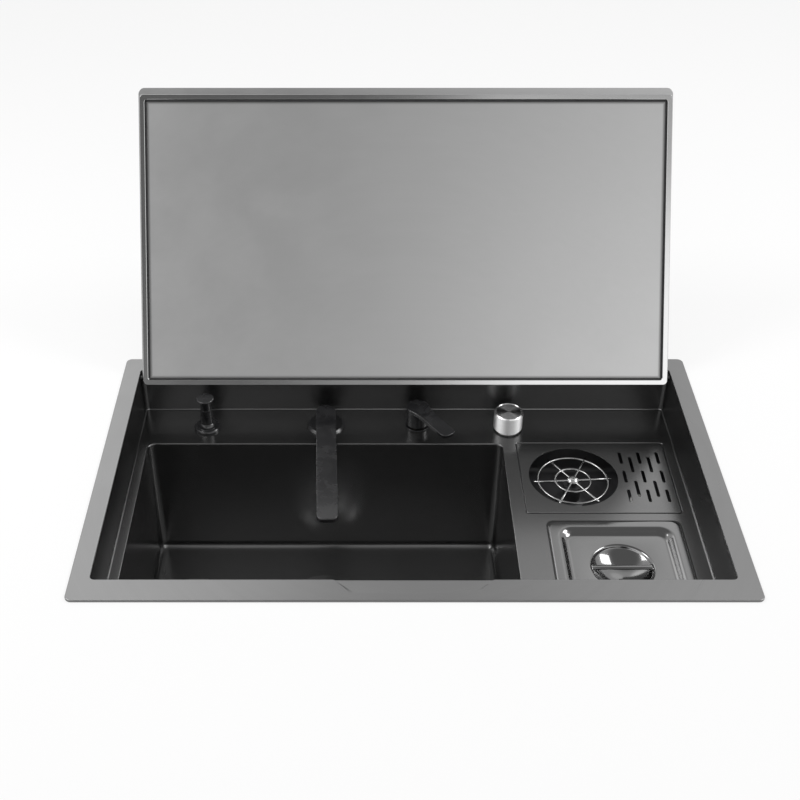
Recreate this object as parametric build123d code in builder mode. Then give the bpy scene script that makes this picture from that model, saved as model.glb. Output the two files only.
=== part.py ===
from build123d import *

import os
from math import cos, radians, sin

# Single bowl kitchen sink with a lid that folds down flush over a sunken deck.
# All sizes are in millimetres. The origin is the middle of the flange's underside, where it
# rests on the worktop, with +X to the right, +Y to the back and +Z up. The lid stands open.

# Sheet and play
sheet = 1.5
running_play = 0.05
loose_play = 0.3
small_edge = 0.5
nut_sides = 6

# Flange and the sunken recess below it
flange_width = 800
flange_thickness = 3
flange_corner = 8
side_border = 23.5
front_border = 33.5
rear_border = 26
recess_depth = 72
recess_corner = 6
seat_relief = 0.6
seat_relief_width = 12.5
seam_radius = 2
seam_edge = 0.1
notch_wide = 188
notch_narrow = 145
notch_reach = 22.5
notch_depth = 1.2
notch_slope = 3

# Where the deck is divided
left_strip = 14.5
right_strip = 16
bridge = 20.5
rear_ledge = 80
front_strip = 16.5
deck_edge_round = 1.2
fine_round = 0.8

# Bowl
bowl_floor_drop = 196
bowl_corner = 10
pad_corner = 12
bowl_floor_fillet = 10

# Drain in the bowl's floor
drain_from_back = 119
drain_flange_radius = 60
drain_flange_rim = 1.8
drain_seat_drop = 3
drain_seat_slope = 5
drain_seat_play = 1
drain_cup_radius = 43
drain_cup_depth = 47
drain_outlet_radius = 19
drain_outlet_wall = 3
drain_outlet_length = 26
drain_wall = 1.5
drain_hole_play = 0.5
drain_ribs = 3
drain_rib = 4
drain_rib_depth = 5
drain_gasket_width = 13
drain_gasket_thickness = 2.5
drain_nut_height = 9
drain_nut_width = 11
drain_nut_lug = 5
drain_nut_lugs = 8
drain_tail_radius = 20
drain_tail_wall = 1.6
drain_tail_length = 66
drain_tail_lap = 10
basket_depth = 30
basket_wall = 1.2
basket_rim = 3.5
basket_rim_height = 2
basket_taper = 6
basket_holes = 8
basket_hole_radius = 3.5
basket_hole_circle = 22
basket_grip_radius = 8
basket_grip_height = 3
basket_grip_drop = 12
basket_post_radius = 3
lifter_radius = 4
lifter_boss_radius = 7
lifter_tail = 20

# Sound pads glued to the bowl
pad_thickness = 3
side_pad_length = 200
side_pad_height = 110
floor_pad_width = 130
floor_pad_depth = 220

# Clips that hold the flange down on the worktop
worktop_thickness = 30
clip_width = 20
clip_thickness = 2
clip_foot = 18
clip_top_gap = 6
clip_screw_radius = 2.5
clip_screw_head_radius = 5
clip_screw_head_height = 3
clip_foot_gap = 5
clip_side_places = (-150, 50)
clip_front_spread = 500

# Lid and its hinge
lid_depth = 15
lid_side_gap = 2.5
lid_front_gap = 2
lid_rear_gap = 3
lid_corner = 8.5
lid_lean = 58
lid_pivot_drop = 3
lid_pivot_from_back = 12.5
lid_skin_thickness = 1.5
lid_front_lip = 11
lid_side_lip = 3.4
lid_frame_band = 7
lid_frame_corner = 6
lid_frame_inner_corner = 4
lid_seal_width = 2.4
lid_seal_drop = 3.5
lid_panel_drop = 4
lid_panel_thickness = 1.2
lid_rib_width = 40
lid_rib_flange = 12
lid_rib_thickness = 1
lid_rib_end_gap = 30
lid_ribs_across = 4
hinge_pin_radius = 2
hinge_pin_shoulder = 3
hinge_bush_wall = 0.45
hinge_housing_depth = 10
hinge_housing_length = 44
hinge_housing_height = 26
hinge_housing_edge = 3
rest_pad_width = 24
rest_pad_reach = 3
rest_pad_height = 8
rest_pad_spread = 500

# Swivel spout
spout_ring_radius = 27.25
spout_ring_height = 4
spout_ring_edge = 1
spout_ring_slope = 3.5
spout_column_radius = 14
spout_top = 26
spout_blade_thickness = 6
spout_blade_edge = 1.4
spout_reach = 230
spout_tip_corner = 9
spout_rest_turn = 2
spout_from_back = 36.5
spout_spigot_radius = 10
spout_spigot_length = 20
spout_water_radius = 5
spout_channel_height = 3
spout_channel_width = 16
spout_thread_radius = 16
spout_thread_length = 45
spout_thread_rise = 2.5
spout_hole_radius = 17.5
spout_tail_radius = 10
spout_tail_length = 20
aerator_radius = 8
aerator_lip = 0.8
aerator_drop = 1.2
aerator_depth = 3
aerator_from_tip = 14
aerator_holes = 6
aerator_hole_radius = 1.3
aerator_hole_circle = 4.6
washer_thickness = 2.5
washer_width = 9
nut_height = 8
nut_wall = 5

# Lever mixer
mixer_from_spout = 130.8
mixer_from_back = 35.4
mixer_foot_radius = 17.5
mixer_foot_height = 1
mixer_thread_radius = 14
mixer_thread_length = 50
mixer_hole_radius = 14.6
mixer_cartridge_radius = 12
mixer_cartridge_length = 35
mixer_post_radius = 6
mixer_post_height = 11
mixer_turret_radius = 10
mixer_turret_height = 22
mixer_cap_radius = 16
mixer_cap_wall = 2.5
mixer_cap_gap = 3.5
lever_top = 33
lever_plate = 5
lever_roof = 7
lever_reach = 78
lever_half_width = 11.2
lever_tip_corner = 8
lever_waist_radius = 60
lever_edge = 1
lever_rest_angle = -56.3
lever_pivot_height = 16
lever_pin_radius = 1.5
lever_pin_inset = 0.5
mixer_tail_radius = 5
mixer_tail_wall = 1.4
mixer_tail_circle = 6.4
mixer_tail_length = 50
mixer_tails_count = 3

# Knob that works the drain
knob_from_bowl = 11.1
knob_from_back = 43.4
knob_radius = 20.5
knob_bottom = 3
knob_top = 30
knob_rim_chamfer = 1.6
knob_wall = 3.5
knob_roof = 6
knob_dish_depth = 0.6
knob_dish_margin = 2.4
knob_hub_radius = 9
knob_foot_radius = 18
knob_foot_height = 2
knob_spindle_radius = 6
knob_thread_radius = 11
knob_thread_length = 38
knob_hole_radius = 11.6
knob_spindle_overrun = 4
gland_cavity_radius = 8
gland_cavity_depth = 8
gland_end_radius = 5
gland_length = 22
gland_bore_radius = 1.6

# Soap dispenser
soap_from_bowl = 79.5
soap_from_back = 42.5
soap_under_lid = 4
soap_foot_radius = 18.5
soap_foot_height = 4.5
soap_foot_edge = 1.8
soap_flare_radius = 13
soap_flare_round = 9
soap_collar_radius = 9.4
soap_collar_flare_height = 11
soap_collar_top_radius = 7.9
soap_collar_height = 34
soap_stem_radius = 7.2
soap_stem_end = 14
soap_cap_radius = 12.5
soap_cap_height = 3
soap_cap_edge = 1
soap_thread_radius = 12
soap_thread_length = 40
soap_hole_radius = 12.6
soap_rod_radius = 3
soap_rod_reach = 60
soap_rod_roof = 2
soap_piston_height = 6
soap_cylinder_radius = 6
soap_cylinder_wall = 2
soap_cylinder_length = 48
soap_cylinder_collar = 2
soap_dip_radius = 2.5
soap_dip_wall = 0.9
soap_dip_length = 70
soap_spring_radius = 5.5
soap_spring_wire = 1
soap_bottle_radius = 30
soap_bottle_wall = 1.5
soap_bottle_length = 140
soap_neck_wall = 2.5
soap_neck_length = 15
soap_shoulder = 13
soap_bottle_floor_corner = 6

# Glass rinser and its drip panel
panel_width = 204
panel_depth = 146
panel_gap = 1.2
panel_from_back = 79
panel_corner = 3
rinse_hole_radius = 60.5
rinse_hole_from_left = 70.8
rinse_hole_off_middle = 1
slot_width = 4.5
slot_short = 25.4
slot_long = 33.2
slot_rows_short = 3
slot_rows_long = 2
slot_row_pitch_short = 39.9
slot_row_pitch_long = 51
slot_from_hole = 9.9
slot_from_side = 11.4
slot_columns = 5
tray_lap = 12
tray_ledge = 7
tray_wall = 1.2
tray_depth = 42
tray_corner = 12
tray_floor_fillet = 8
spigot_from_tray_side = 30.2
spigot_radius = 8
spigot_hose_radius = 7
spigot_wall = 1.5
spigot_flange_radius = 13
spigot_flange_height = 2
spigot_length = 28
spider_drop = 7
spider_wire = 3
wire_sides = 8
spider_outer_radius = 49
spider_inner_radius = 25.5
spider_spoke_length = 108
spider_spokes = 3
spider_turn = 3.5
spider_hub_radius = 8
spider_travel = 5
rinser_post_radius = 12
rinser_post_clearance = 1
rinser_foot_radius = 20
rinser_foot_height = 3
rinser_thread_radius = 10
rinser_thread_length = 18
rinser_inlet_radius = 7
rinser_inlet_length = 20
rinser_water_radius = 2.5
plunger_radius = 7
plunger_length = 13
nozzle_radius = 3.5
nozzle_head_radius = 7
nozzle_head_height = 2.8
nozzle_head_rim = 0.8
nozzle_head_round = 8
nozzle_jet_radius = 1
rinser_bore_floor = 4
rinser_spring_play = 0.25

# Food container with its lid
container_width = 176
container_depth = 162
container_rear_gap = 16
container_front_gap = 17.5
container_right_gap = 21.5
container_corner = 10
container_rim_width = 8
container_rim_thickness = 1.2
container_wall = 1
container_height = 100
container_taper = 5
container_body_corner = 22
container_floor_fillet = 8
container_hole_play = 1
lid_inset = 2
lid_plate_thickness = 1
lid_flat_rim = 12
lid_slope_width = 12.5
lid_sink = 5.8
lid_slope_corner = 20
lid_floor_corner = 13
lid_roll = 9
lid_floor_roll = 10
dish_radius = 39.4
dish_depth = 18
dish_wall_drop = 6
dish_wall_slope = 4
dish_roll = 1.5
grip_width = 7
grip_thickness = 4
grip_rise = 0.7
grip_edge = 1.2

# Places and levels worked out from the sizes above
flange_depth = (
    front_border
    + container_front_gap
    + container_depth
    + container_rear_gap
    + panel_depth
    + panel_from_back
    + rear_border
)
flange_top = flange_thickness
opening_right = flange_width / 2 - side_border
opening_left = -opening_right
opening_front = -flange_depth / 2 + front_border
opening_back = flange_depth / 2 - rear_border
opening_width = opening_right - opening_left
opening_depth = opening_back - opening_front
opening_middle = (opening_front + opening_back) / 2
deck_top = flange_top - recess_depth
deck_under = deck_top - sheet

bowl_left = opening_left + left_strip
panel_right = opening_right - right_strip
panel_left = panel_right - panel_width
bowl_right = panel_left - bridge
bowl_back = opening_back - rear_ledge
bowl_front = opening_front + front_strip
bowl_width = bowl_right - bowl_left
bowl_depth = bowl_back - bowl_front
bowl_x = (bowl_left + bowl_right) / 2
bowl_y = (bowl_front + bowl_back) / 2
bowl_floor = deck_top - bowl_floor_drop
drain_y = bowl_back - drain_from_back

container_x = opening_right - container_right_gap - container_width / 2
container_y = opening_front + container_front_gap + container_depth / 2
panel_back = opening_back - panel_from_back
panel_front = container_y + container_depth / 2 + container_rear_gap
panel_x = (panel_left + panel_right) / 2
panel_y = (panel_front + panel_back) / 2
rinse_x = panel_left + rinse_hole_from_left
rinse_y = panel_y + rinse_hole_off_middle

spout_x, spout_y = bowl_x, opening_back - spout_from_back
mixer_x, mixer_y = spout_x + mixer_from_spout, opening_back - mixer_from_back
knob_x, knob_y = bowl_right + knob_from_bowl, opening_back - knob_from_back
soap_x, soap_y = bowl_left + soap_from_bowl, opening_back - soap_from_back
soap_top = recess_depth - lid_depth - soap_under_lid

lid_width = opening_width - 2 * lid_side_gap
lid_pivot_y = opening_back - lid_pivot_from_back
lid_pivot_z = -lid_pivot_drop
hinge_bush_radius = hinge_pin_radius + running_play + hinge_bush_wall

os.makedirs("parts", exist_ok=True)


def keep(piece, name):
    """Label a finished piece and write it as its own file."""
    piece.part.label = name
    export_step(piece.part, f"parts/{name}.step")


def rim_edges(piece, x, y, width, depth):
    """Pick the edges of a piece's top face whose middles lie in a rectangle centred at (x, y)."""
    reach_x = width / 2 + small_edge
    reach_y = depth / 2 + small_edge
    return [
        edge
        for edge in piece.edges().group_by(Axis.Z)[-1]
        if abs(edge.center().X - x) < reach_x and abs(edge.center().Y - y) < reach_y
    ]


def turned(x, y, base, profile):
    """Turn a closed profile of (radius, height) points about the upright axis at (x, y)."""
    with BuildPart() as made:
        with BuildSketch(Plane((x, y, base), x_dir=(1, 0, 0), z_dir=(0, -1, 0))):
            with BuildLine():
                Polyline(*profile, close=True)
            make_face()
        revolve(axis=Axis((x, y, base), (0, 0, 1)))
    return made


def hex_nut(x, y, top, thread_radius, height, wall):
    """Make a plain hexagon nut that hangs below a level."""
    with BuildPart() as made:
        with BuildSketch(Plane((x, y, top - height))):
            RegularPolygon(thread_radius + wall, nut_sides, major_radius=False)
            Circle(thread_radius, mode=Mode.SUBTRACT)
        extrude(amount=height)
    return made


def top_edges(piece):
    """Edges round the highest face of a piece."""
    return piece.faces().sort_by(Axis.Z)[-1].outer_wire().edges()


def bottom_edges(piece):
    """Edges round the lowest face of a piece."""
    return piece.faces().sort_by(Axis.Z)[0].outer_wire().edges()


# Top flange, with the shallow finger notch in front of the lid. Its outer band lies on the worktop, and
# its underside is relieved beside the opening for the walls' weld.
with BuildPart() as top_flange:
    with BuildSketch():
        RectangleRounded(flange_width, flange_depth, flange_corner)
        with Locations((0, opening_middle)):
            RectangleRounded(opening_width, opening_depth, recess_corner, mode=Mode.SUBTRACT)
    extrude(amount=flange_thickness)
    chamfer(top_edges(top_flange), small_edge)
    for level, inset in ((flange_top, 0), (flange_top - notch_depth, notch_slope)):
        with BuildSketch(Plane.XY.offset(level)):
            with BuildLine():
                Polyline(
                    (-notch_wide / 2 + inset, opening_front),
                    (-notch_narrow / 2 + inset, opening_front - notch_reach + inset),
                    (notch_narrow / 2 - inset, opening_front - notch_reach + inset),
                    (notch_wide / 2 - inset, opening_front),
                    close=True,
                )
            make_face()
    loft(ruled=True, mode=Mode.SUBTRACT)
    with BuildSketch():
        with Locations((0, opening_middle)):
            RectangleRounded(
                opening_width + 2 * seat_relief_width,
                opening_depth + 2 * seat_relief_width,
                recess_corner + seat_relief_width,
            )
    extrude(amount=seat_relief, mode=Mode.SUBTRACT)
keep(top_flange, "top_flange")

# Walls of the recess, welded into the relief under the flange and bored for the lid's hinge bushes
with BuildPart() as recess_walls:
    with BuildSketch(Plane.XY.offset(deck_under)):
        with Locations((0, opening_middle)):
            RectangleRounded(opening_width + 2 * sheet, opening_depth + 2 * sheet, recess_corner + sheet)
            RectangleRounded(opening_width, opening_depth, recess_corner, mode=Mode.SUBTRACT)
    extrude(amount=seat_relief - deck_under)
    with BuildSketch(Plane.YZ.offset(-flange_width / 2)):
        with Locations((lid_pivot_y, lid_pivot_z)):
            Circle(hinge_bush_radius)
    extrude(amount=flange_width, mode=Mode.SUBTRACT)
keep(recess_walls, "recess_walls")

# Sunken deck with its cut-outs
with BuildPart() as deck_plate:
    with BuildSketch(Plane.XY.offset(deck_under)):
        with Locations((0, opening_middle)):
            RectangleRounded(opening_width, opening_depth, recess_corner)
        with Locations((bowl_x, bowl_y)):
            RectangleRounded(bowl_width, bowl_depth, bowl_corner, mode=Mode.SUBTRACT)
        with Locations((panel_x, panel_y)):
            RectangleRounded(
                panel_width + 2 * panel_gap,
                panel_depth + 2 * panel_gap,
                panel_corner + panel_gap,
                mode=Mode.SUBTRACT,
            )
        with Locations((container_x, container_y)):
            RectangleRounded(
                container_width - 2 * container_rim_width + 2 * container_hole_play,
                container_depth - 2 * container_rim_width + 2 * container_hole_play,
                container_body_corner + container_hole_play,
                mode=Mode.SUBTRACT,
            )
        with Locations((spout_x, spout_y)):
            Circle(spout_hole_radius, mode=Mode.SUBTRACT)
        with Locations((mixer_x, mixer_y)):
            Circle(mixer_hole_radius, mode=Mode.SUBTRACT)
        with Locations((knob_x, knob_y)):
            Circle(knob_hole_radius, mode=Mode.SUBTRACT)
        with Locations((soap_x, soap_y)):
            Circle(soap_hole_radius, mode=Mode.SUBTRACT)
    extrude(amount=sheet)
    fillet(rim_edges(deck_plate, bowl_x, bowl_y, bowl_width, bowl_depth), deck_edge_round)
    hole_width = panel_width + 2 * panel_gap
    hole_depth = panel_depth + 2 * panel_gap
    fillet(rim_edges(deck_plate, panel_x, panel_y, hole_width, hole_depth), fine_round)
keep(deck_plate, "deck_plate")

# Ground seam between the deck and the walls: a ring with a hollow face
with BuildPart() as recess_seam:
    with BuildSketch(Plane.XY.offset(deck_top)):
        with Locations((0, opening_middle)):
            RectangleRounded(opening_width, opening_depth, recess_corner)
            RectangleRounded(
                opening_width - 2 * (seam_radius + seam_edge),
                opening_depth - 2 * (seam_radius + seam_edge),
                recess_corner - seam_radius - seam_edge,
                mode=Mode.SUBTRACT,
            )
    extrude(amount=seam_radius + seam_edge)
    with BuildPart(mode=Mode.PRIVATE) as seam_space:
        with BuildSketch(Plane.XY.offset(deck_top + seam_edge)):
            with Locations((0, opening_middle)):
                RectangleRounded(
                    opening_width - 2 * seam_edge, opening_depth - 2 * seam_edge, recess_corner - seam_edge
                )
        extrude(amount=2 * seam_radius)
        fillet(bottom_edges(seam_space), seam_radius)
    add(seam_space.part, mode=Mode.SUBTRACT)
keep(recess_seam, "recess_seam")

# Bowl, pressed from sheet, with a sunken seat round the drain
drain_seat_radius = drain_flange_radius + drain_seat_play
drain_seat_rim = drain_seat_radius + drain_seat_slope
drain_cup_outer = drain_cup_radius + drain_wall
drain_hole_radius = drain_cup_outer + drain_hole_play
with BuildPart() as bowl_shell:
    with BuildSketch(Plane.XY.offset(bowl_floor - sheet)):
        with Locations((bowl_x, bowl_y)):
            RectangleRounded(bowl_width + 2 * sheet, bowl_depth + 2 * sheet, bowl_corner + sheet)
    extrude(amount=deck_under - bowl_floor + sheet)
    fillet(bottom_edges(bowl_shell), bowl_floor_fillet + sheet)
    offset(amount=-sheet, openings=bowl_shell.faces().sort_by(Axis.Z)[-1])
    with BuildSketch(Plane((bowl_x, drain_y, bowl_floor - sheet))):
        Circle(drain_seat_rim)
    extrude(amount=sheet, mode=Mode.SUBTRACT)
    with BuildSketch(Plane((bowl_x, drain_y, bowl_floor), x_dir=(1, 0, 0), z_dir=(0, -1, 0))):
        with BuildLine():
            Polyline(
                (drain_seat_rim, 0),
                (drain_seat_radius, -drain_seat_drop),
                (drain_hole_radius, -drain_seat_drop),
                (drain_hole_radius, -drain_seat_drop - sheet),
                (drain_seat_radius, -drain_seat_drop - sheet),
                (drain_seat_rim, -sheet),
                close=True,
            )
        make_face()
    revolve(axis=Axis((bowl_x, drain_y, bowl_floor), (0, 0, 1)))
keep(bowl_shell, "bowl_shell")

# Sound pads on the bowl's two sides, its front and both ends of its floor
pad_level = (deck_under + bowl_floor) / 2
with BuildPart() as sound_pads:
    with BuildSketch(Plane.YZ.offset(bowl_left - sheet - pad_thickness)):
        with Locations((bowl_y, pad_level)):
            RectangleRounded(side_pad_length, side_pad_height, pad_corner)
    extrude(amount=pad_thickness)
    with BuildSketch(Plane.YZ.offset(bowl_right + sheet)):
        with Locations((bowl_y, pad_level)):
            RectangleRounded(side_pad_length, side_pad_height, pad_corner)
    extrude(amount=pad_thickness)
    with BuildSketch(Plane.XZ.offset(-bowl_front + sheet)):
        with Locations((bowl_x, pad_level)):
            RectangleRounded(side_pad_length, side_pad_height, pad_corner)
    extrude(amount=pad_thickness)
    pad_spread = bowl_width / 2 + drain_seat_rim
    with BuildSketch(Plane.XY.offset(bowl_floor - sheet - pad_thickness)):
        with Locations((bowl_x, bowl_y)):
            with GridLocations(pad_spread, 1, 2, 1):
                RectangleRounded(floor_pad_width, floor_pad_depth, pad_corner)
    extrude(amount=pad_thickness)
keep(sound_pads, "sound_pads")

# Clips against the recess walls: a leg on the wall, a foot under the worktop and a clamping screw
wall_right = opening_right + sheet
wall_front = opening_front - sheet
wall_back = opening_back + sheet
clip_foot_level = -worktop_thickness - clip_foot_gap
clip_screw_reach = clip_foot / 2 + clip_thickness


def clip_places():
    """Planes at the foot of each wall clip, with local x pointing away from the wall."""
    places = []
    for side in (-1, 1):
        for y in clip_side_places:
            places.append(Plane((side * wall_right, y, clip_foot_level), x_dir=(side, 0, 0)))
        x = side * clip_front_spread / 2
        places.append(Plane((x, wall_front, clip_foot_level), x_dir=(0, -1, 0)))
        places.append(Plane((x, wall_back, clip_foot_level), x_dir=(0, 1, 0)))
    return places


with BuildPart() as mount_clips:
    for place in clip_places():
        with BuildSketch(place):
            with Locations(((clip_thickness + clip_foot) / 2, 0)):
                Rectangle(clip_foot + clip_thickness, clip_width)
            with Locations((clip_screw_reach, 0)):
                Circle(clip_screw_radius, mode=Mode.SUBTRACT)
        extrude(amount=clip_thickness)
        with BuildSketch(place):
            with Locations((clip_thickness / 2, 0)):
                Rectangle(clip_thickness, clip_width)
        extrude(amount=-clip_foot_level - clip_top_gap)
keep(mount_clips, "mount_clips")

with BuildPart() as clip_screws:
    for place in clip_places():
        with BuildSketch(place.offset(-clip_screw_head_height)):
            with Locations((clip_screw_reach, 0)):
                RegularPolygon(clip_screw_head_radius, nut_sides)
        extrude(amount=clip_screw_head_height)
        with BuildSketch(place):
            with Locations((clip_screw_reach, 0)):
                Circle(clip_screw_radius)
        extrude(amount=clip_foot_gap)
keep(clip_screws, "clip_screws")

# Hinge bushes in the recess's side walls
with BuildPart() as lid_hinge_bushes:
    for side in (-1, 1):
        bush_start = (side * opening_right, lid_pivot_y, lid_pivot_z)
        with BuildSketch(Plane(bush_start, x_dir=(0, 1, 0), z_dir=(side, 0, 0))):
            Circle(hinge_bush_radius)
            Circle(hinge_pin_radius + running_play, mode=Mode.SUBTRACT)
        extrude(amount=sheet + hinge_housing_depth / 2)
keep(lid_hinge_bushes, "lid_hinge_bushes")

# Hinge housings outside the side walls, which hold the bushes, the stops and the dampers
with BuildPart() as lid_hinge_housings:
    for side in (-1, 1):
        housing_middle = -hinge_housing_length / 2 + lid_pivot_from_back
        with BuildSketch(Plane((side * wall_right, lid_pivot_y, 0), x_dir=(0, 1, 0), z_dir=(side, 0, 0))):
            with Locations((housing_middle, -side * hinge_housing_height / 2)):
                RectangleRounded(hinge_housing_length, hinge_housing_height, hinge_housing_edge)
            with Locations((0, side * lid_pivot_z)):
                Circle(hinge_bush_radius, mode=Mode.SUBTRACT)
        extrude(amount=hinge_housing_depth)
keep(lid_hinge_housings, "lid_hinge_housings")

# Rubber pads on the front wall that the closed lid's lip comes down on
rest_pad_top = flange_top - lid_skin_thickness - loose_play
with BuildPart() as lid_rest_pads:
    with BuildSketch(Plane.XY.offset(rest_pad_top - rest_pad_height)):
        with Locations((0, opening_front + rest_pad_reach / 2)):
            with GridLocations(rest_pad_spread, 1, 2, 1):
                Rectangle(rest_pad_width, rest_pad_reach)
    extrude(amount=rest_pad_height)
keep(lid_rest_pads, "lid_rest_pads")

# The lid is drawn on a plane through its pivot: local x across, local y up the open lid,
# local z out of its inner face.
lid_plane = Plane(
    origin=(0, lid_pivot_y, lid_pivot_z),
    x_dir=(1, 0, 0),
    z_dir=(0, -sin(radians(lid_lean)), cos(radians(lid_lean))),
)
lid_axis = Axis(lid_plane.origin, lid_plane.z_dir)
lid_outer = -(flange_top - lid_pivot_z)
lid_inner = lid_outer + lid_depth
lid_end = -(opening_back - lid_rear_gap - lid_pivot_y)
lid_tip = lid_pivot_y - opening_front - lid_front_gap
lid_length = lid_tip - lid_end
frame_tip = lid_tip - lid_front_lip
frame_width = lid_width - 2 * lid_side_lip
frame_length = frame_tip - lid_end
well_width = frame_width - 2 * lid_frame_band
well_length = frame_length - 2 * lid_frame_band
frame_middle = (frame_tip + lid_end) / 2
panel_level = lid_inner - lid_panel_drop

with BuildPart() as lid_skin:
    with BuildSketch(lid_plane.offset(lid_outer)):
        with Locations((0, (lid_tip + lid_end) / 2)):
            RectangleRounded(lid_width, lid_length, lid_corner)
    extrude(amount=lid_skin_thickness)
    skin_top = lid_skin.faces().filter_by(GeomType.PLANE).sort_by(lid_axis)[0]
    chamfer(skin_top.edges(), small_edge)
keep(lid_skin, "lid_skin")

with BuildPart() as lid_frame:
    with BuildSketch(lid_plane.offset(lid_outer + lid_skin_thickness)):
        with Locations((0, frame_middle)):
            RectangleRounded(frame_width, frame_length, lid_frame_corner)
            RectangleRounded(well_width, well_length, lid_frame_inner_corner, mode=Mode.SUBTRACT)
    extrude(amount=lid_depth - lid_skin_thickness)
    frame_face = lid_frame.faces().filter_by(GeomType.PLANE).sort_by(lid_axis)[-1]
    chamfer(frame_face.edges(), small_edge)
    with BuildSketch(Plane((-lid_width, lid_pivot_y, lid_pivot_z), x_dir=(0, 1, 0), z_dir=(1, 0, 0))):
        Circle(hinge_pin_radius)
    extrude(amount=2 * lid_width, mode=Mode.SUBTRACT)
keep(lid_frame, "lid_frame")

with BuildPart() as lid_seal:
    with BuildSketch(lid_plane.offset(lid_outer + lid_skin_thickness)):
        with Locations((0, frame_middle)):
            RectangleRounded(well_width, well_length, lid_frame_inner_corner)
            Rectangle(well_width - 2 * lid_seal_width, well_length - 2 * lid_seal_width, mode=Mode.SUBTRACT)
    extrude(amount=panel_level - lid_seal_drop + lid_panel_thickness - lid_outer - lid_skin_thickness)
    with BuildSketch(Plane((-lid_width, lid_pivot_y, lid_pivot_z), x_dir=(0, 1, 0), z_dir=(1, 0, 0))):
        Circle(hinge_pin_radius)
    extrude(amount=2 * lid_width, mode=Mode.SUBTRACT)
keep(lid_seal, "lid_seal")

# Inner panel: a shallow pan whose folded edges stand on the skin inside the seal
panel_pan_width = well_width - 2 * lid_seal_width
panel_pan_length = well_length - 2 * lid_seal_width
with BuildPart() as lid_inner_panel:
    with BuildSketch(lid_plane.offset(lid_outer + lid_skin_thickness)):
        with Locations((0, frame_middle)):
            Rectangle(panel_pan_width, panel_pan_length)
    extrude(amount=panel_level - lid_outer - lid_skin_thickness)
    with BuildSketch(lid_plane.offset(lid_outer + lid_skin_thickness)):
        with Locations((0, frame_middle)):
            Rectangle(panel_pan_width - 2 * lid_panel_thickness, panel_pan_length - 2 * lid_panel_thickness)
    extrude(amount=panel_level - lid_panel_thickness - lid_outer - lid_skin_thickness, mode=Mode.SUBTRACT)
keep(lid_inner_panel, "lid_inner_panel")

# Hat-section stiffeners between the skin and the inner panel
rib_height = panel_level - lid_panel_thickness - lid_outer - lid_skin_thickness
rib_pitch = panel_pan_width / (lid_ribs_across + 1)
with BuildPart() as lid_ribs:
    rib_end = Plane(
        origin=lid_plane.from_local_coords((0, lid_end + lid_rib_end_gap, lid_outer + lid_skin_thickness)),
        x_dir=(1, 0, 0),
        z_dir=-lid_plane.y_dir,
    )
    with BuildSketch(rib_end):
        with GridLocations(rib_pitch, 1, lid_ribs_across, 1):
            with Locations((0, rib_height / 2)):
                Rectangle(lid_rib_width, rib_height)
            with Locations((0, (rib_height - lid_rib_thickness) / 2)):
                Rectangle(
                    lid_rib_width - 2 * lid_rib_thickness,
                    rib_height - lid_rib_thickness,
                    mode=Mode.SUBTRACT,
                )
            for side in (-1, 1):
                with Locations((side * (lid_rib_width + lid_rib_flange) / 2, lid_rib_thickness / 2)):
                    Rectangle(lid_rib_flange, lid_rib_thickness)
    extrude(amount=-(frame_length - 2 * lid_rib_end_gap))
keep(lid_ribs, "lid_ribs")

# Shoulder pins through the frame's side bands into the bushes
with BuildPart() as lid_hinge_pins:
    for side in (-1, 1):
        pin_plane = Plane(
            (side * (frame_width / 2 - lid_frame_band), lid_pivot_y, lid_pivot_z),
            x_dir=(0, 1, 0),
            z_dir=(side, 0, 0),
        )
        with BuildSketch(pin_plane):
            Circle(hinge_pin_radius)
        extrude(amount=lid_frame_band + lid_side_lip + lid_side_gap + sheet + hinge_housing_depth / 2)
        with BuildSketch(pin_plane.offset(lid_frame_band)):
            Circle(hinge_pin_shoulder)
        extrude(amount=lid_side_lip + lid_side_gap - loose_play)
keep(lid_hinge_pins, "lid_hinge_pins")

# Drain: flange, strainer cup and outlet in one, with a ribbed guide across the outlet
cup_bottom = -drain_cup_depth
outlet_outer = drain_outlet_radius + drain_outlet_wall
with BuildPart() as drain_flange:
    drain_axis_plane = Plane((bowl_x, drain_y, bowl_floor), x_dir=(1, 0, 0), z_dir=(0, -1, 0))
    with BuildSketch(drain_axis_plane):
        with BuildLine():
            Polyline(
                (drain_flange_radius, -drain_seat_drop),
                (drain_flange_radius, -drain_seat_drop + small_edge),
                (drain_flange_radius - drain_flange_rim, -drain_seat_drop + drain_flange_rim),
                (drain_cup_radius + drain_flange_rim, -drain_seat_drop + drain_flange_rim),
                (drain_cup_radius, -drain_seat_drop),
                (drain_cup_radius, cup_bottom + drain_wall),
                (drain_outlet_radius, cup_bottom),
                (drain_outlet_radius, cup_bottom - drain_outlet_length),
                (outlet_outer, cup_bottom - drain_outlet_length),
                (outlet_outer, cup_bottom - drain_wall),
                (drain_cup_outer, cup_bottom),
                (drain_cup_outer, -drain_seat_drop),
                close=True,
            )
        make_face()
    revolve(axis=Axis((bowl_x, drain_y, bowl_floor), (0, 0, 1)))
    with BuildSketch(Plane((bowl_x, drain_y, bowl_floor + cup_bottom - drain_rib_depth))):
        Circle(lifter_boss_radius)
        with PolarLocations(0, drain_ribs):
            with Locations((drain_outlet_radius / 2, 0)):
                Rectangle(drain_outlet_radius + drain_rib, drain_rib)
        Circle(lifter_radius + running_play, mode=Mode.SUBTRACT)
    extrude(amount=drain_rib_depth)
keep(drain_flange, "drain_flange")

seat_under = bowl_floor - drain_seat_drop - sheet
drain_gasket = turned(
    bowl_x,
    drain_y,
    seat_under,
    [
        (drain_cup_outer, 0),
        (drain_cup_outer + drain_gasket_width, 0),
        (drain_cup_outer + drain_gasket_width, -drain_gasket_thickness),
        (drain_cup_outer, -drain_gasket_thickness),
    ],
)
keep(drain_gasket, "drain_gasket")

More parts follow.
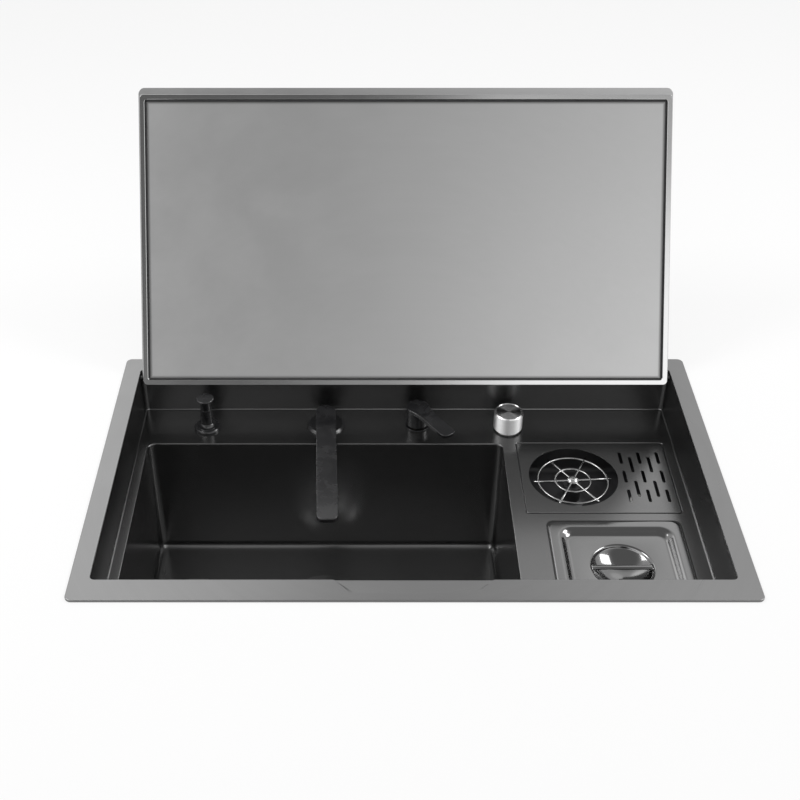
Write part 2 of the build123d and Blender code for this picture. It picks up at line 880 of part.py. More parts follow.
with BuildPart() as drain_lock_nut:
    with BuildSketch(Plane((bowl_x, drain_y, seat_under - drain_gasket_thickness - drain_nut_height))):
        Circle(drain_cup_outer + drain_nut_width)
        with PolarLocations(drain_cup_outer + drain_nut_width, drain_nut_lugs):
            Rectangle(drain_nut_lug, 2 * drain_nut_lug)
        Circle(drain_cup_outer, mode=Mode.SUBTRACT)
    extrude(amount=drain_nut_height)
keep(drain_lock_nut, "drain_lock_nut")

outlet_end = bowl_floor + cup_bottom - drain_outlet_length
drain_tailpiece = turned(
    bowl_x,
    drain_y,
    outlet_end,
    [
        (drain_tail_radius - drain_tail_wall, 0),
        (outlet_outer, 0),
        (outlet_outer, drain_tail_lap),
        (outlet_outer + drain_outlet_wall, drain_tail_lap),
        (outlet_outer + drain_outlet_wall, -drain_tail_lap),
        (drain_tail_radius, -drain_tail_lap - drain_outlet_wall),
        (drain_tail_radius, -drain_tail_length),
        (drain_tail_radius - drain_tail_wall, -drain_tail_length),
    ],
)
keep(drain_tailpiece, "drain_tailpiece")

# Strainer basket, pushed up by the lifter pin below it: a wall with a perforated disc set in its foot
basket_radius = drain_cup_radius - loose_play
basket_top = bowl_floor - drain_seat_drop - small_edge
basket_floor_radius = basket_radius - basket_rim - basket_taper
with BuildPart() as drain_basket:
    with BuildSketch(Plane((bowl_x, drain_y, basket_top), x_dir=(1, 0, 0), z_dir=(0, -1, 0))):
        with BuildLine():
            Polyline(
                (basket_floor_radius, -basket_depth),
                (basket_radius - basket_rim, -basket_rim_height),
                (basket_radius, -basket_rim_height),
                (basket_radius, 0),
                (basket_radius - basket_rim - basket_wall, 0),
                (basket_floor_radius - basket_wall, -basket_depth),
                close=True,
            )
        make_face()
        with BuildLine():
            Polyline(
                (0, -basket_depth),
                (basket_floor_radius - basket_wall - running_play, -basket_depth),
                (basket_floor_radius - basket_wall - running_play, -basket_depth + basket_wall),
                (basket_post_radius, -basket_depth + basket_wall),
                (basket_post_radius, -basket_grip_drop - basket_grip_height),
                (basket_grip_radius, -basket_grip_drop - basket_grip_height),
                (basket_grip_radius, -basket_grip_drop),
                (0, -basket_grip_drop),
                close=True,
            )
        make_face()
    revolve(axis=Axis((bowl_x, drain_y, basket_top), (0, 0, 1)))
    with BuildSketch(Plane((bowl_x, drain_y, basket_top - basket_depth))):
        with PolarLocations(basket_hole_circle, basket_holes):
            Circle(basket_hole_radius)
    extrude(amount=basket_wall, mode=Mode.SUBTRACT)
keep(drain_basket, "drain_basket")

lifter_top = basket_top - basket_depth
lifter_bottom = bowl_floor + cup_bottom - lifter_tail
drain_lifter = turned(
    bowl_x,
    drain_y,
    lifter_bottom,
    [
        (0, 0),
        (lifter_radius, 0),
        (lifter_radius, lifter_top - lifter_bottom - basket_wall),
        (lifter_boss_radius, lifter_top - lifter_bottom - basket_wall),
        (lifter_boss_radius, lifter_top - lifter_bottom),
        (0, lifter_top - lifter_bottom),
    ],
)
keep(drain_lifter, "drain_lifter")

# Spout: base ring, threaded shank, washer and nut stay with the deck
spout_bore = spout_spigot_radius + running_play
tap_ring = turned(
    spout_x,
    spout_y,
    deck_top,
    [
        (spout_thread_radius, 0),
        (spout_ring_radius, 0),
        (spout_ring_radius, spout_ring_edge),
        (spout_ring_radius - spout_ring_slope, spout_ring_height),
        (spout_bore, spout_ring_height),
        (spout_bore, spout_thread_rise),
        (spout_thread_radius, spout_thread_rise),
    ],
)
keep(tap_ring, "tap_ring")

spout_bore_depth = spout_spigot_length + loose_play
tap_shank = turned(
    spout_x,
    spout_y,
    deck_top,
    [
        (spout_water_radius, -spout_thread_length - spout_tail_length),
        (spout_tail_radius, -spout_thread_length - spout_tail_length),
        (spout_tail_radius, -spout_thread_length),
        (spout_thread_radius, -spout_thread_length),
        (spout_thread_radius, spout_thread_rise),
        (spout_bore, spout_thread_rise),
        (spout_bore, -spout_bore_depth),
        (spout_water_radius, -spout_bore_depth),
    ],
)
keep(tap_shank, "tap_shank")

tap_washer = turned(
    spout_x,
    spout_y,
    deck_under,
    [
        (spout_thread_radius, 0),
        (spout_thread_radius + washer_width, 0),
        (spout_thread_radius + washer_width, -washer_thickness),
        (spout_thread_radius, -washer_thickness),
    ],
)
keep(tap_washer, "tap_washer")
tap_nut_top = deck_under - washer_thickness
tap_nut = hex_nut(spout_x, spout_y, tap_nut_top, spout_thread_radius, nut_height, nut_wall)
keep(tap_nut, "tap_nut")

# Swivelling column with the spigot that turns in the shank
blade_under = spout_top - spout_blade_thickness
tap_column = turned(
    spout_x,
    spout_y,
    deck_top,
    [
        (spout_water_radius, -spout_spigot_length),
        (spout_spigot_radius, -spout_spigot_length),
        (spout_spigot_radius, spout_ring_height),
        (spout_column_radius, spout_ring_height),
        (spout_column_radius, blade_under),
        (spout_water_radius, blade_under),
    ],
)
keep(tap_column, "tap_column")

# Flat blade spout with its water channel, drawn along its own length
spout_turn = radians(spout_rest_turn - 90)
blade_start = (spout_x, spout_y, deck_top + blade_under)
blade_plane = Plane(blade_start, x_dir=(cos(spout_turn), sin(spout_turn), 0))
channel_floor = (spout_blade_thickness - spout_channel_height) / 2
aerator_reach = spout_reach - aerator_from_tip
with BuildPart() as tap_spout:
    with BuildSketch(blade_plane) as blade:
        Circle(spout_column_radius)
        with Locations((spout_reach / 2, 0)):
            Rectangle(spout_reach, 2 * spout_column_radius)
        fillet(blade.vertices().sort_by(Axis.X)[-2:], spout_tip_corner)
    extrude(amount=spout_blade_thickness)
    fillet(top_edges(tap_spout), spout_blade_edge)
    with BuildSketch(blade_plane):
        Circle(spout_water_radius)
    extrude(amount=channel_floor, mode=Mode.SUBTRACT)
    with BuildSketch(blade_plane.offset(channel_floor)):
        with Locations((aerator_reach / 2, 0)):
            SlotCenterToCenter(aerator_reach, spout_channel_width)
    extrude(amount=spout_channel_height, mode=Mode.SUBTRACT)
    with BuildSketch(blade_plane):
        with Locations((aerator_reach, 0)):
            Circle(aerator_radius)
    extrude(amount=aerator_depth, mode=Mode.SUBTRACT)
keep(tap_spout, "tap_spout")

with BuildPart() as tap_aerator:
    with BuildSketch(blade_plane.offset(-aerator_drop)):
        with Locations((aerator_reach, 0)):
            Circle(aerator_radius + aerator_lip)
    extrude(amount=aerator_drop)
    with BuildSketch(blade_plane):
        with Locations((aerator_reach, 0)):
            Circle(aerator_radius)
    extrude(amount=aerator_depth)
    with BuildSketch(blade_plane.offset(-aerator_drop)):
        with Locations((aerator_reach, 0)):
            Circle(aerator_hole_radius)
            with PolarLocations(aerator_hole_circle, aerator_holes):
                Circle(aerator_hole_radius)
    extrude(amount=aerator_drop + aerator_depth, mode=Mode.SUBTRACT)
keep(tap_aerator, "tap_aerator")

# Mixer: foot and threaded shank in one, with the cartridge inside it
mixer_bore = mixer_cartridge_radius
mixer_base = turned(
    mixer_x,
    mixer_y,
    deck_top,
    [
        (mixer_post_radius, mixer_foot_height),
        (mixer_foot_radius, mixer_foot_height),
        (mixer_foot_radius, 0),
        (mixer_thread_radius, 0),
        (mixer_thread_radius, -mixer_thread_length),
        (mixer_bore, -mixer_thread_length),
        (mixer_bore, 0),
        (mixer_post_radius, 0),
    ],
)
keep(mixer_base, "mixer_base")

mixer_cartridge = turned(
    mixer_x,
    mixer_y,
    deck_top,
    [
        (0, -mixer_cartridge_length),
        (mixer_bore, -mixer_cartridge_length),
        (mixer_bore, 0),
        (mixer_post_radius, 0),
        (mixer_post_radius, mixer_post_height),
        (0, mixer_post_height),
    ],
)
keep(mixer_cartridge, "mixer_cartridge")
mixer_nut = hex_nut(mixer_x, mixer_y, deck_under, mixer_thread_radius, nut_height, nut_wall)
keep(mixer_nut, "mixer_nut")

with BuildPart() as mixer_tails:
    with BuildSketch(Plane((mixer_x, mixer_y, deck_top - mixer_cartridge_length - mixer_tail_length))):
        with PolarLocations(mixer_tail_circle, mixer_tails_count, start_angle=90):
            Circle(mixer_tail_radius)
            Circle(mixer_tail_radius - mixer_tail_wall, mode=Mode.SUBTRACT)
    extrude(amount=mixer_tail_length)
keep(mixer_tails, "mixer_tails")

# Turret that turns on the cartridge's post and carries the lever's pin
lever_turn = radians(lever_rest_angle)
lever_plane = Plane((mixer_x, mixer_y, deck_top), x_dir=(cos(lever_turn), sin(lever_turn), 0))
lever_pin_plane = Plane(
    lever_plane.from_local_coords((0, 0, lever_pivot_height)),
    x_dir=lever_plane.x_dir,
    z_dir=lever_plane.y_dir,
)
with BuildPart() as mixer_turret:
    with BuildSketch(lever_plane.offset(mixer_foot_height)):
        Circle(mixer_turret_radius)
    extrude(amount=mixer_turret_height - mixer_foot_height)
    chamfer(top_edges(mixer_turret), small_edge)
    with BuildSketch(lever_plane.offset(mixer_foot_height)):
        Circle(mixer_post_radius + running_play)
    extrude(amount=mixer_post_height - mixer_foot_height + loose_play, mode=Mode.SUBTRACT)
    with BuildSketch(lever_pin_plane):
        Circle(lever_pin_radius + running_play)
    extrude(amount=mixer_turret_radius, both=True, mode=Mode.SUBTRACT)
keep(mixer_turret, "mixer_turret")

# Lever: a round cap over the turret that runs out into a waisted blade
lever_pin_half = mixer_cap_radius - lever_pin_inset
cap_bottom = mixer_foot_height + mixer_cap_gap
with BuildPart() as mixer_lever:
    with BuildSketch(lever_plane.offset(cap_bottom)):
        Circle(mixer_cap_radius)
    extrude(amount=lever_top - lever_plate - cap_bottom)
    with BuildSketch(lever_plane.offset(lever_top - lever_plate)) as lever_outline:
        Circle(mixer_cap_radius)
        with Locations((lever_reach / 2, 0)):
            Rectangle(lever_reach, 2 * lever_half_width)
        fillet(lever_outline.vertices().sort_by(Axis.X)[-2:], lever_tip_corner)
        fillet(lever_outline.vertices().sort_by(Axis.X)[:2], lever_waist_radius)
    extrude(amount=lever_plate)
    fillet(top_edges(mixer_lever), lever_edge)
    with BuildSketch(lever_plane.offset(cap_bottom)):
        Circle(mixer_cap_radius - mixer_cap_wall)
    extrude(amount=lever_top - lever_roof - cap_bottom, mode=Mode.SUBTRACT)
    with BuildSketch(lever_pin_plane):
        Circle(lever_pin_radius)
    extrude(amount=lever_pin_half, both=True, mode=Mode.SUBTRACT)
keep(mixer_lever, "mixer_lever")

with BuildPart() as mixer_lever_pin:
    with BuildSketch(lever_pin_plane):
        Circle(lever_pin_radius)
    extrude(amount=lever_pin_half, both=True)
keep(mixer_lever_pin, "mixer_lever_pin")

# Drain knob: foot and threaded shank, nut and cable gland stay with the deck
spindle_bore = knob_spindle_radius + running_play
knob_base = turned(
    knob_x,
    knob_y,
    deck_top,
    [
        (spindle_bore, knob_foot_height),
        (knob_foot_radius, knob_foot_height),
        (knob_foot_radius, 0),
        (knob_thread_radius, 0),
        (knob_thread_radius, -knob_thread_length),
        (spindle_bore, -knob_thread_length),
    ],
)
keep(knob_base, "knob_base")
knob_nut = hex_nut(knob_x, knob_y, deck_under, knob_thread_radius, nut_height, nut_wall)
keep(knob_nut, "knob_nut")

knob_cable_gland = turned(
    knob_x,
    knob_y,
    deck_top - knob_thread_length,
    [
        (gland_cavity_radius, 0),
        (knob_thread_radius, 0),
        (knob_thread_radius, -gland_cavity_depth),
        (gland_end_radius, -gland_length),
        (gland_bore_radius, -gland_length),
        (gland_bore_radius, -gland_cavity_depth),
        (gland_cavity_radius, -gland_cavity_depth),
    ],
)
keep(knob_cable_gland, "knob_cable_gland")

# Turned knob with a shallow dish in its top face, on its own spindle
knob_inner = knob_radius - knob_wall
dish_edge = knob_radius - knob_dish_margin
drain_knob = turned(
    knob_x,
    knob_y,
    deck_top,
    [
        (0, -knob_thread_length - knob_spindle_overrun),
        (knob_spindle_radius, -knob_thread_length - knob_spindle_overrun),
        (knob_spindle_radius, knob_foot_height),
        (knob_hub_radius, knob_foot_height),
        (knob_hub_radius, knob_top - knob_roof),
        (knob_inner, knob_top - knob_roof),
        (knob_inner, knob_bottom),
        (knob_radius - small_edge, knob_bottom),
        (knob_radius, knob_bottom + small_edge),
        (knob_radius, knob_top - knob_rim_chamfer),
        (knob_radius - knob_rim_chamfer, knob_top),
        (dish_edge, knob_top),
        (dish_edge - knob_dish_depth, knob_top - knob_dish_depth),
        (0, knob_top - knob_dish_depth),
    ],
)
keep(drain_knob, "drain_knob")

# Soap dispenser: foot, flared collar and threaded shank in one
stem_bore = soap_stem_radius + running_play
with BuildPart() as soap_base:
    with BuildSketch(Plane((soap_x, soap_y, deck_top), x_dir=(1, 0, 0), z_dir=(0, -1, 0))):
        with BuildLine():
            Polyline(
                (soap_collar_top_radius, soap_collar_height),
                (stem_bore, soap_collar_height),
                (stem_bore, -soap_thread_length),
                (soap_thread_radius, -soap_thread_length),
                (soap_thread_radius, 0),
                (soap_foot_radius, 0),
                (soap_foot_radius, soap_foot_height - soap_foot_edge),
                (soap_foot_radius - soap_foot_edge, soap_foot_height),
                (soap_flare_radius, soap_foot_height),
            )
            flare = RadiusArc(
                (soap_flare_radius, soap_foot_height),
                (soap_collar_radius, soap_collar_flare_height),
                -soap_flare_round,
            )
            Line(flare @ 1, (soap_collar_top_radius, soap_collar_height))
        make_face()
    revolve(axis=Axis((soap_x, soap_y, deck_top), (0, 0, 1)))
keep(soap_base, "soap_base")
soap_nut = hex_nut(soap_x, soap_y, deck_under, soap_thread_radius, nut_height, nut_wall)
keep(soap_nut, "soap_nut")

soap_head = turned(
    soap_x,
    soap_y,
    deck_top,
    [
        (soap_rod_radius + running_play, soap_stem_end),
        (soap_stem_radius, soap_stem_end),
        (soap_stem_radius, soap_top - soap_cap_height),
        (soap_cap_radius - soap_cap_edge, soap_top - soap_cap_height),
        (soap_cap_radius, soap_top - soap_cap_height + soap_cap_edge),
        (soap_cap_radius, soap_top - soap_cap_edge),
        (soap_cap_radius - soap_cap_edge, soap_top),
        (0, soap_top),
        (0, soap_top - soap_rod_roof),
        (soap_rod_radius + running_play, soap_top - soap_rod_roof),
    ],
)
keep(soap_head, "soap_head")

soap_piston_rod = turned(
    soap_x,
    soap_y,
    deck_top,
    [
        (0, -soap_rod_reach),
        (soap_cylinder_radius, -soap_rod_reach),
        (soap_cylinder_radius, -soap_rod_reach + soap_piston_height),
        (soap_rod_radius, -soap_rod_reach + soap_piston_height),
        (soap_rod_radius, soap_top - soap_rod_roof),
        (0, soap_top - soap_rod_roof),
    ],
)
keep(soap_piston_rod, "soap_piston_rod")

# Pump cylinder and dip tube in one, hung under the shank
cylinder_bore = soap_cylinder_radius + running_play
cylinder_outer = cylinder_bore + soap_cylinder_wall
shank_end = deck_top - soap_thread_length
soap_dip_tube = turned(
    soap_x,
    soap_y,
    shank_end,
    [
        (cylinder_bore, 0),
        (soap_thread_radius, 0),
        (soap_thread_radius, -soap_cylinder_collar),
        (cylinder_outer, -soap_cylinder_collar),
        (cylinder_outer, -soap_cylinder_length),
        (soap_dip_radius, -soap_cylinder_length - soap_cylinder_wall),
        (soap_dip_radius, -soap_cylinder_length - soap_dip_length),
        (soap_dip_radius - soap_dip_wall, -soap_cylinder_length - soap_dip_length),
        (soap_dip_radius - soap_dip_wall, -soap_cylinder_length + soap_cylinder_wall),
        (cylinder_bore, -soap_cylinder_length + soap_cylinder_wall),
    ],
)
keep(soap_dip_tube, "soap_dip_tube")

# Return spring inside the pump, drawn as the sleeve that its coil fills
soap_spring_floor = shank_end - soap_cylinder_length + soap_cylinder_wall
soap_spring_top = deck_top - soap_rod_reach
soap_spring = turned(
    soap_x,
    soap_y,
    soap_spring_floor,
    [
        (soap_spring_radius - soap_spring_wire, 0),
        (soap_spring_radius, 0),
        (soap_spring_radius, soap_spring_top - soap_spring_floor),
        (soap_spring_radius - soap_spring_wire, soap_spring_top - soap_spring_floor),
    ],
)
keep(soap_spring, "soap_spring")

# Bottle screwed on the shank's lower end
neck_outer = soap_thread_radius + soap_neck_wall
neck_top = -soap_thread_length + soap_neck_length
bottle_end = neck_top - soap_bottle_length
soap_bottle = turned(
    soap_x,
    soap_y,
    deck_top,
    [
        (soap_thread_radius, neck_top),
        (neck_outer, neck_top),
        (neck_outer, -soap_thread_length),
        (soap_bottle_radius, -soap_thread_length - soap_shoulder),
        (soap_bottle_radius, bottle_end + soap_bottle_floor_corner),
        (soap_bottle_radius - soap_bottle_floor_corner, bottle_end),
        (0, bottle_end),
        (0, bottle_end + soap_bottle_wall),
        (soap_bottle_radius - soap_bottle_floor_corner, bottle_end + soap_bottle_wall),
        (soap_bottle_radius - soap_bottle_wall, bottle_end + soap_bottle_floor_corner),
        (soap_bottle_radius - soap_bottle_wall, -soap_thread_length - soap_shoulder - soap_bottle_wall),
        (soap_thread_radius, -soap_thread_length - soap_cylinder_collar),
    ],
)
keep(soap_bottle, "soap_bottle")

# Tray under the drip panel, welded below the deck so that its ledge carries the panel flush
tray_inner_width = panel_width - 2 * tray_ledge
tray_inner_depth = panel_depth - 2 * tray_ledge
tray_floor = deck_under - tray_depth
spigot_x = panel_x + tray_inner_width / 2 - spigot_from_tray_side
with BuildPart() as rinser_tray:
    with BuildSketch(Plane((panel_x, panel_y, tray_floor - tray_wall))):
        RectangleRounded(
            tray_inner_width + 2 * tray_wall,
            tray_inner_depth + 2 * tray_wall,
            tray_corner + tray_wall,
        )
    extrude(amount=tray_depth + tray_wall)
    fillet(bottom_edges(rinser_tray), tray_floor_fillet + tray_wall)
    offset(amount=-tray_wall, openings=rinser_tray.faces().sort_by(Axis.Z)[-1])
    with BuildSketch(Plane((panel_x, panel_y, deck_under - tray_wall))):
        RectangleRounded(
            panel_width + 2 * panel_gap + 2 * tray_lap,
            panel_depth + 2 * panel_gap + 2 * tray_lap,
            panel_corner,
        )
        RectangleRounded(tray_inner_width, tray_inner_depth, tray_corner, mode=Mode.SUBTRACT)
    extrude(amount=tray_wall)
    with BuildSketch(Plane.XY.offset(tray_floor - tray_wall)):
        with Locations((rinse_x, rinse_y)):
            Circle(rinser_thread_radius)
        with Locations((spigot_x, rinse_y)):
            Circle(spigot_radius)
    extrude(amount=tray_wall, mode=Mode.SUBTRACT)
keep(rinser_tray, "rinser_tray")

tray_drain_spigot = turned(
    spigot_x,
    rinse_y,
    tray_floor,
    [
        (spigot_hose_radius - spigot_wall, spigot_flange_height - small_edge),
        (spigot_radius, spigot_flange_height),
        (spigot_flange_radius - spigot_flange_height, spigot_flange_height),
        (spigot_flange_radius, 0),
        (spigot_radius, 0),
        (spigot_radius, -tray_wall),
        (spigot_hose_radius, -tray_wall),
        (spigot_hose_radius, -spigot_length),
        (spigot_hose_radius - spigot_wall, -spigot_length),
    ],
)
keep(tray_drain_spigot, "tray_drain_spigot")

# Rinser valve: post and threaded inlet in one, with the plunger's bore down its middle
spider_level = deck_top - spider_drop
spider_low = spider_level - spider_wire / 2
spider_high = spider_level + spider_wire / 2
post_top = spider_low - spider_travel - rinser_post_clearance
plunger_bore = plunger_radius + running_play
bore_floor = tray_floor + rinser_bore_floor
thread_end = tray_floor - tray_wall - rinser_thread_length
rinser_valve_body = turned(
    rinse_x,
    rinse_y,
    0,
    [
        (rinser_water_radius, thread_end - rinser_inlet_length),
        (rinser_inlet_radius, thread_end - rinser_inlet_length),
        (rinser_inlet_radius, thread_end),
        (rinser_thread_radius, thread_end),
        (rinser_thread_radius, tray_floor),
        (rinser_foot_radius, tray_floor),
        (rinser_foot_radius, tray_floor + rinser_foot_height),
        (rinser_post_radius, tray_floor + rinser_foot_height + rinser_foot_height),
        (rinser_post_radius, post_top),
        (plunger_bore, post_top),
        (plunger_bore, bore_floor),
        (rinser_water_radius, bore_floor),
    ],
)
keep(rinser_valve_body, "rinser_valve_body")
rinser_valve_nut = hex_nut(
    rinse_x,
    rinse_y,
    tray_floor - tray_wall,
    rinser_thread_radius,
    nut_height,
    nut_wall,
)
keep(rinser_valve_nut, "rinser_valve_nut")

# Nozzle with a domed head, which the spider slides on
with BuildPart() as rinser_nozzle:
    with BuildSketch(Plane((rinse_x, rinse_y, 0), x_dir=(1, 0, 0), z_dir=(0, -1, 0))):
        with BuildLine():
            shank = Polyline(
                (nozzle_jet_radius, spider_high + nozzle_head_height),
                (nozzle_jet_radius, bore_floor),
                (nozzle_radius, bore_floor),
                (nozzle_radius, spider_high),
                (nozzle_head_radius, spider_high),
                (nozzle_head_radius, spider_high + nozzle_head_rim),
            )
            RadiusArc(shank @ 1, shank @ 0, -nozzle_head_round)
        make_face()
    revolve(axis=Axis((rinse_x, rinse_y, 0), (0, 0, 1)))
keep(rinser_nozzle, "rinser_nozzle")

rinser_plunger = turned(
    rinse_x,
    rinse_y,
    spider_low,
    [
        (nozzle_radius + running_play, 0),
        (plunger_radius, 0),
        (plunger_radius, -plunger_length),
        (nozzle_radius + running_play, -plunger_length),
    ],
)
keep(rinser_plunger, "rinser_plunger")

rinser_spring = turned(
    rinse_x,
    rinse_y,
    bore_floor,
    [
        (nozzle_radius + rinser_spring_play, 0),
        (plunger_radius - rinser_spring_play, 0),
        (plunger_radius - rinser_spring_play, spider_low - plunger_length - bore_floor),
        (nozzle_radius + rinser_spring_play, spider_low - plunger_length - bore_floor),
    ],
)
keep(rinser_spring, "rinser_spring")

# Spider that a glass pushes down: two wire rings on three crossing wires, with a hub
wire_radius = spider_wire / 2
with BuildPart() as rinser_spider:
    with BuildSketch(Plane((rinse_x, rinse_y, spider_level), x_dir=(1, 0, 0), z_dir=(0, -1, 0))):
        for ring in (spider_outer_radius, spider_inner_radius):
            with Locations((ring - wire_radius, 0)):
                RegularPolygon(wire_radius, wire_sides, major_radius=False, rotation=180 / wire_sides)
    revolve(axis=Axis((rinse_x, rinse_y, spider_level), (0, 0, 1)))
    for spoke in range(spider_spokes):
        angle = radians(spider_turn + 180 / spider_spokes * spoke)
        along = Vector(cos(angle), sin(angle), 0)
        start = Vector(rinse_x, rinse_y, spider_level) - along * (spider_spoke_length / 2)
        with BuildSketch(Plane(start, x_dir=(0, 0, 1), z_dir=along)):
            RegularPolygon(wire_radius, wire_sides, major_radius=False, rotation=180 / wire_sides)
        extrude(amount=spider_spoke_length)
    with BuildSketch(Plane((rinse_x, rinse_y, spider_low))):
        Circle(spider_hub_radius)
    extrude(amount=spider_wire)
    with BuildSketch(Plane((rinse_x, rinse_y, spider_low))):
        Circle(nozzle_radius + running_play)
    extrude(amount=spider_wire, mode=Mode.SUBTRACT)
keep(rinser_spider, "rinser_spider")

# Drip panel with the round rinsing hole and five columns of draining slots
slot_first = rinse_x + rinse_hole_radius + slot_from_hole
slot_column_pitch = (panel_right - slot_from_side - slot_first) / (slot_columns - 1)
with BuildPart() as rinser_panel:
    with BuildSketch(Plane((0, 0, deck_under))):
        with Locations((panel_x, panel_y)):
            RectangleRounded(panel_width, panel_depth, panel_corner)
        with Locations((rinse_x, rinse_y)):
            Circle(rinse_hole_radius, mode=Mode.SUBTRACT)
        for column in range(slot_columns):
            with Locations((slot_first + column * slot_column_pitch, rinse_y)):
                if column % 2:
                    with GridLocations(1, slot_row_pitch_long, 1, slot_rows_long):
                        SlotOverall(slot_long, slot_width, rotation=90, mode=Mode.SUBTRACT)
                else:
                    with GridLocations(1, slot_row_pitch_short, 1, slot_rows_short):
                        SlotOverall(slot_short, slot_width, rotation=90, mode=Mode.SUBTRACT)
    extrude(amount=sheet)
    panel_face = rinser_panel.faces().sort_by(Axis.Z)[-1]
    fillet(panel_face.outer_wire().edges(), fine_round)
keep(rinser_panel, "rinser_panel")

# Container: a tapered pan that hangs by its rim on the deck
body_width = container_width - 2 * container_rim_width
body_depth = container_depth - 2 * container_rim_width
with BuildPart() as container_space:
    with BuildSketch(Plane((container_x, container_y, deck_top + container_rim_thickness))):
        RectangleRounded(
            body_width - 2 * container_wall,
            body_depth - 2 * container_wall,
            container_body_corner - container_wall,
        )
    extrude(amount=-(container_height + container_rim_thickness - container_wall), taper=container_taper)
    fillet(bottom_edges(container_space), container_floor_fillet - container_wall)
with BuildPart() as container_pan:
    with BuildSketch(Plane((container_x, container_y, deck_top + container_rim_thickness))):
        RectangleRounded(body_width, body_depth, container_body_corner)
    extrude(amount=-(container_height + container_rim_thickness), taper=container_taper)
    fillet(bottom_edges(container_pan), container_floor_fillet)
    with BuildSketch(Plane((container_x, container_y, deck_top))):
        RectangleRounded(container_width, container_depth, container_corner)
    extrude(amount=container_rim_thickness)
    add(container_space.part, mode=Mode.SUBTRACT)
keep(container_pan, "container_pan")

# Container lid: flat rim, rolled slope, sunken middle and a round dish for the grip
lid_seat = deck_top + container_rim_thickness
lid_rim_top = lid_seat + lid_plate_thickness
cover_width = container_width - 2 * lid_inset
cover_depth = container_depth - 2 * lid_inset
slope_width = cover_width - 2 * lid_flat_rim
slope_depth = cover_depth - 2 * lid_flat_rim


def pressed_space(level, inset):
    """Make the space of the lid's pressing below a level, smaller all round by an inset."""
    dish_mouth = dish_radius - inset
    dish_waist = dish_mouth - dish_wall_slope
    bottom_rise = dish_depth - dish_wall_drop
    bottom_round = (dish_waist**2 + bottom_rise**2) / (2 * bottom_rise)
    with BuildPart() as space:
        with BuildSketch(Plane((container_x, container_y, level))):
            RectangleRounded(slope_width - 2 * inset, slope_depth - 2 * inset, lid_slope_corner - inset)
        with BuildSketch(Plane((container_x, container_y, level - lid_sink))):
            RectangleRounded(
                slope_width - 2 * lid_slope_width - 2 * inset,
                slope_depth - 2 * lid_slope_width - 2 * inset,
                lid_floor_corner - inset,
            )
        loft(ruled=True)
        fillet(bottom_edges(space), lid_floor_roll - inset)
        floor = Plane((container_x, container_y, level - lid_sink), x_dir=(1, 0, 0), z_dir=(0, -1, 0))
        with BuildSketch(floor):
            with BuildLine():
                wall = Polyline((0, 0), (dish_mouth, 0), (dish_waist, -dish_wall_drop))
                RadiusArc(wall @ 1, (0, -dish_depth), bottom_round)
                Line((0, -dish_depth), (0, 0))
            make_face()
        revolve(axis=Axis(floor.origin, (0, 0, 1)))
    return space


lid_under = pressed_space(lid_seat, 0)
lid_over = pressed_space(lid_rim_top, lid_plate_thickness)
with BuildPart() as container_lid:
    with BuildSketch(Plane((container_x, container_y, lid_seat))):
        RectangleRounded(cover_width, cover_depth, container_corner)
    extrude(amount=lid_plate_thickness)
    add(lid_under.part)
    add(lid_over.part, mode=Mode.SUBTRACT)
    rim_face = container_lid.faces().sort_by(Axis.Z)[-1]
    fillet(rim_face.inner_wires()[0].edges(), lid_roll)
    lid_floor_top = lid_rim_top - lid_sink
    mouth = [
        edge
        for edge in container_lid.edges().filter_by(GeomType.CIRCLE)
        if abs(edge.center().Z - lid_floor_top) < running_play and edge.radius > dish_radius - lid_roll
    ]
    fillet(mouth, dish_roll)
keep(container_lid, "container_lid")

# Grip: a bar across the dish, with its ends cut to the dish's wall
grip_top = lid_floor_top + grip_rise
with BuildPart() as container_handle:
    with BuildSketch(Plane((container_x, container_y, grip_top - grip_thickness))):
        Rectangle(2 * dish_radius, grip_width)
    extrude(amount=grip_thickness)
    fillet(container_handle.edges().filter_by(Axis.X), grip_edge)
    add(lid_over.part, mode=Mode.INTERSECT)
keep(container_handle, "container_handle")
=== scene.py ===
"""Looks of a single bowl kitchen sink with a folding lid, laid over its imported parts.

Everything is in metres in the part's own frame: +X to the right, +Y to the back and +Z up, with
z = 0 at the underside of the flange, where it rests on the worktop.
"""

import logging
from collections.abc import Iterable, Sequence
from dataclasses import dataclass, field, replace
from enum import Enum
from math import cos, pi, radians, sin

import bmesh
import bpy
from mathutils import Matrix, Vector


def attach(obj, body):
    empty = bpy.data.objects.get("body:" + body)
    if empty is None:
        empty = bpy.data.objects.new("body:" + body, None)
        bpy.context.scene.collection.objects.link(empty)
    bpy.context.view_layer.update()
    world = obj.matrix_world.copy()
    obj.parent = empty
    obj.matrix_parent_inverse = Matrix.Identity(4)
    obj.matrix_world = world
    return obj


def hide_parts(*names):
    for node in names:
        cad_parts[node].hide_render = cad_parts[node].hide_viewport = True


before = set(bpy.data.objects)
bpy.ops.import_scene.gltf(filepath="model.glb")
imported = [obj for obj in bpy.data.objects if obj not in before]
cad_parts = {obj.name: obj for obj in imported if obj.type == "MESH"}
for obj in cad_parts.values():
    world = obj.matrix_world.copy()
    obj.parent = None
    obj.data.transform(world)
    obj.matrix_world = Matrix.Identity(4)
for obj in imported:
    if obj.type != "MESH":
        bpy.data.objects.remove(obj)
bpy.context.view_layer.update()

log = logging.getLogger("sink")

MM = 0.001
RADIAN_LENGTH = 20 * MM  # how long one radian round an axis counts in the pattern of lines
EDGE_TURN = (0.995, 0.9)  # the cosines between which a turn of the surface becomes an edge
Point = tuple[float, float, float]
Socket = bpy.types.NodeSocket


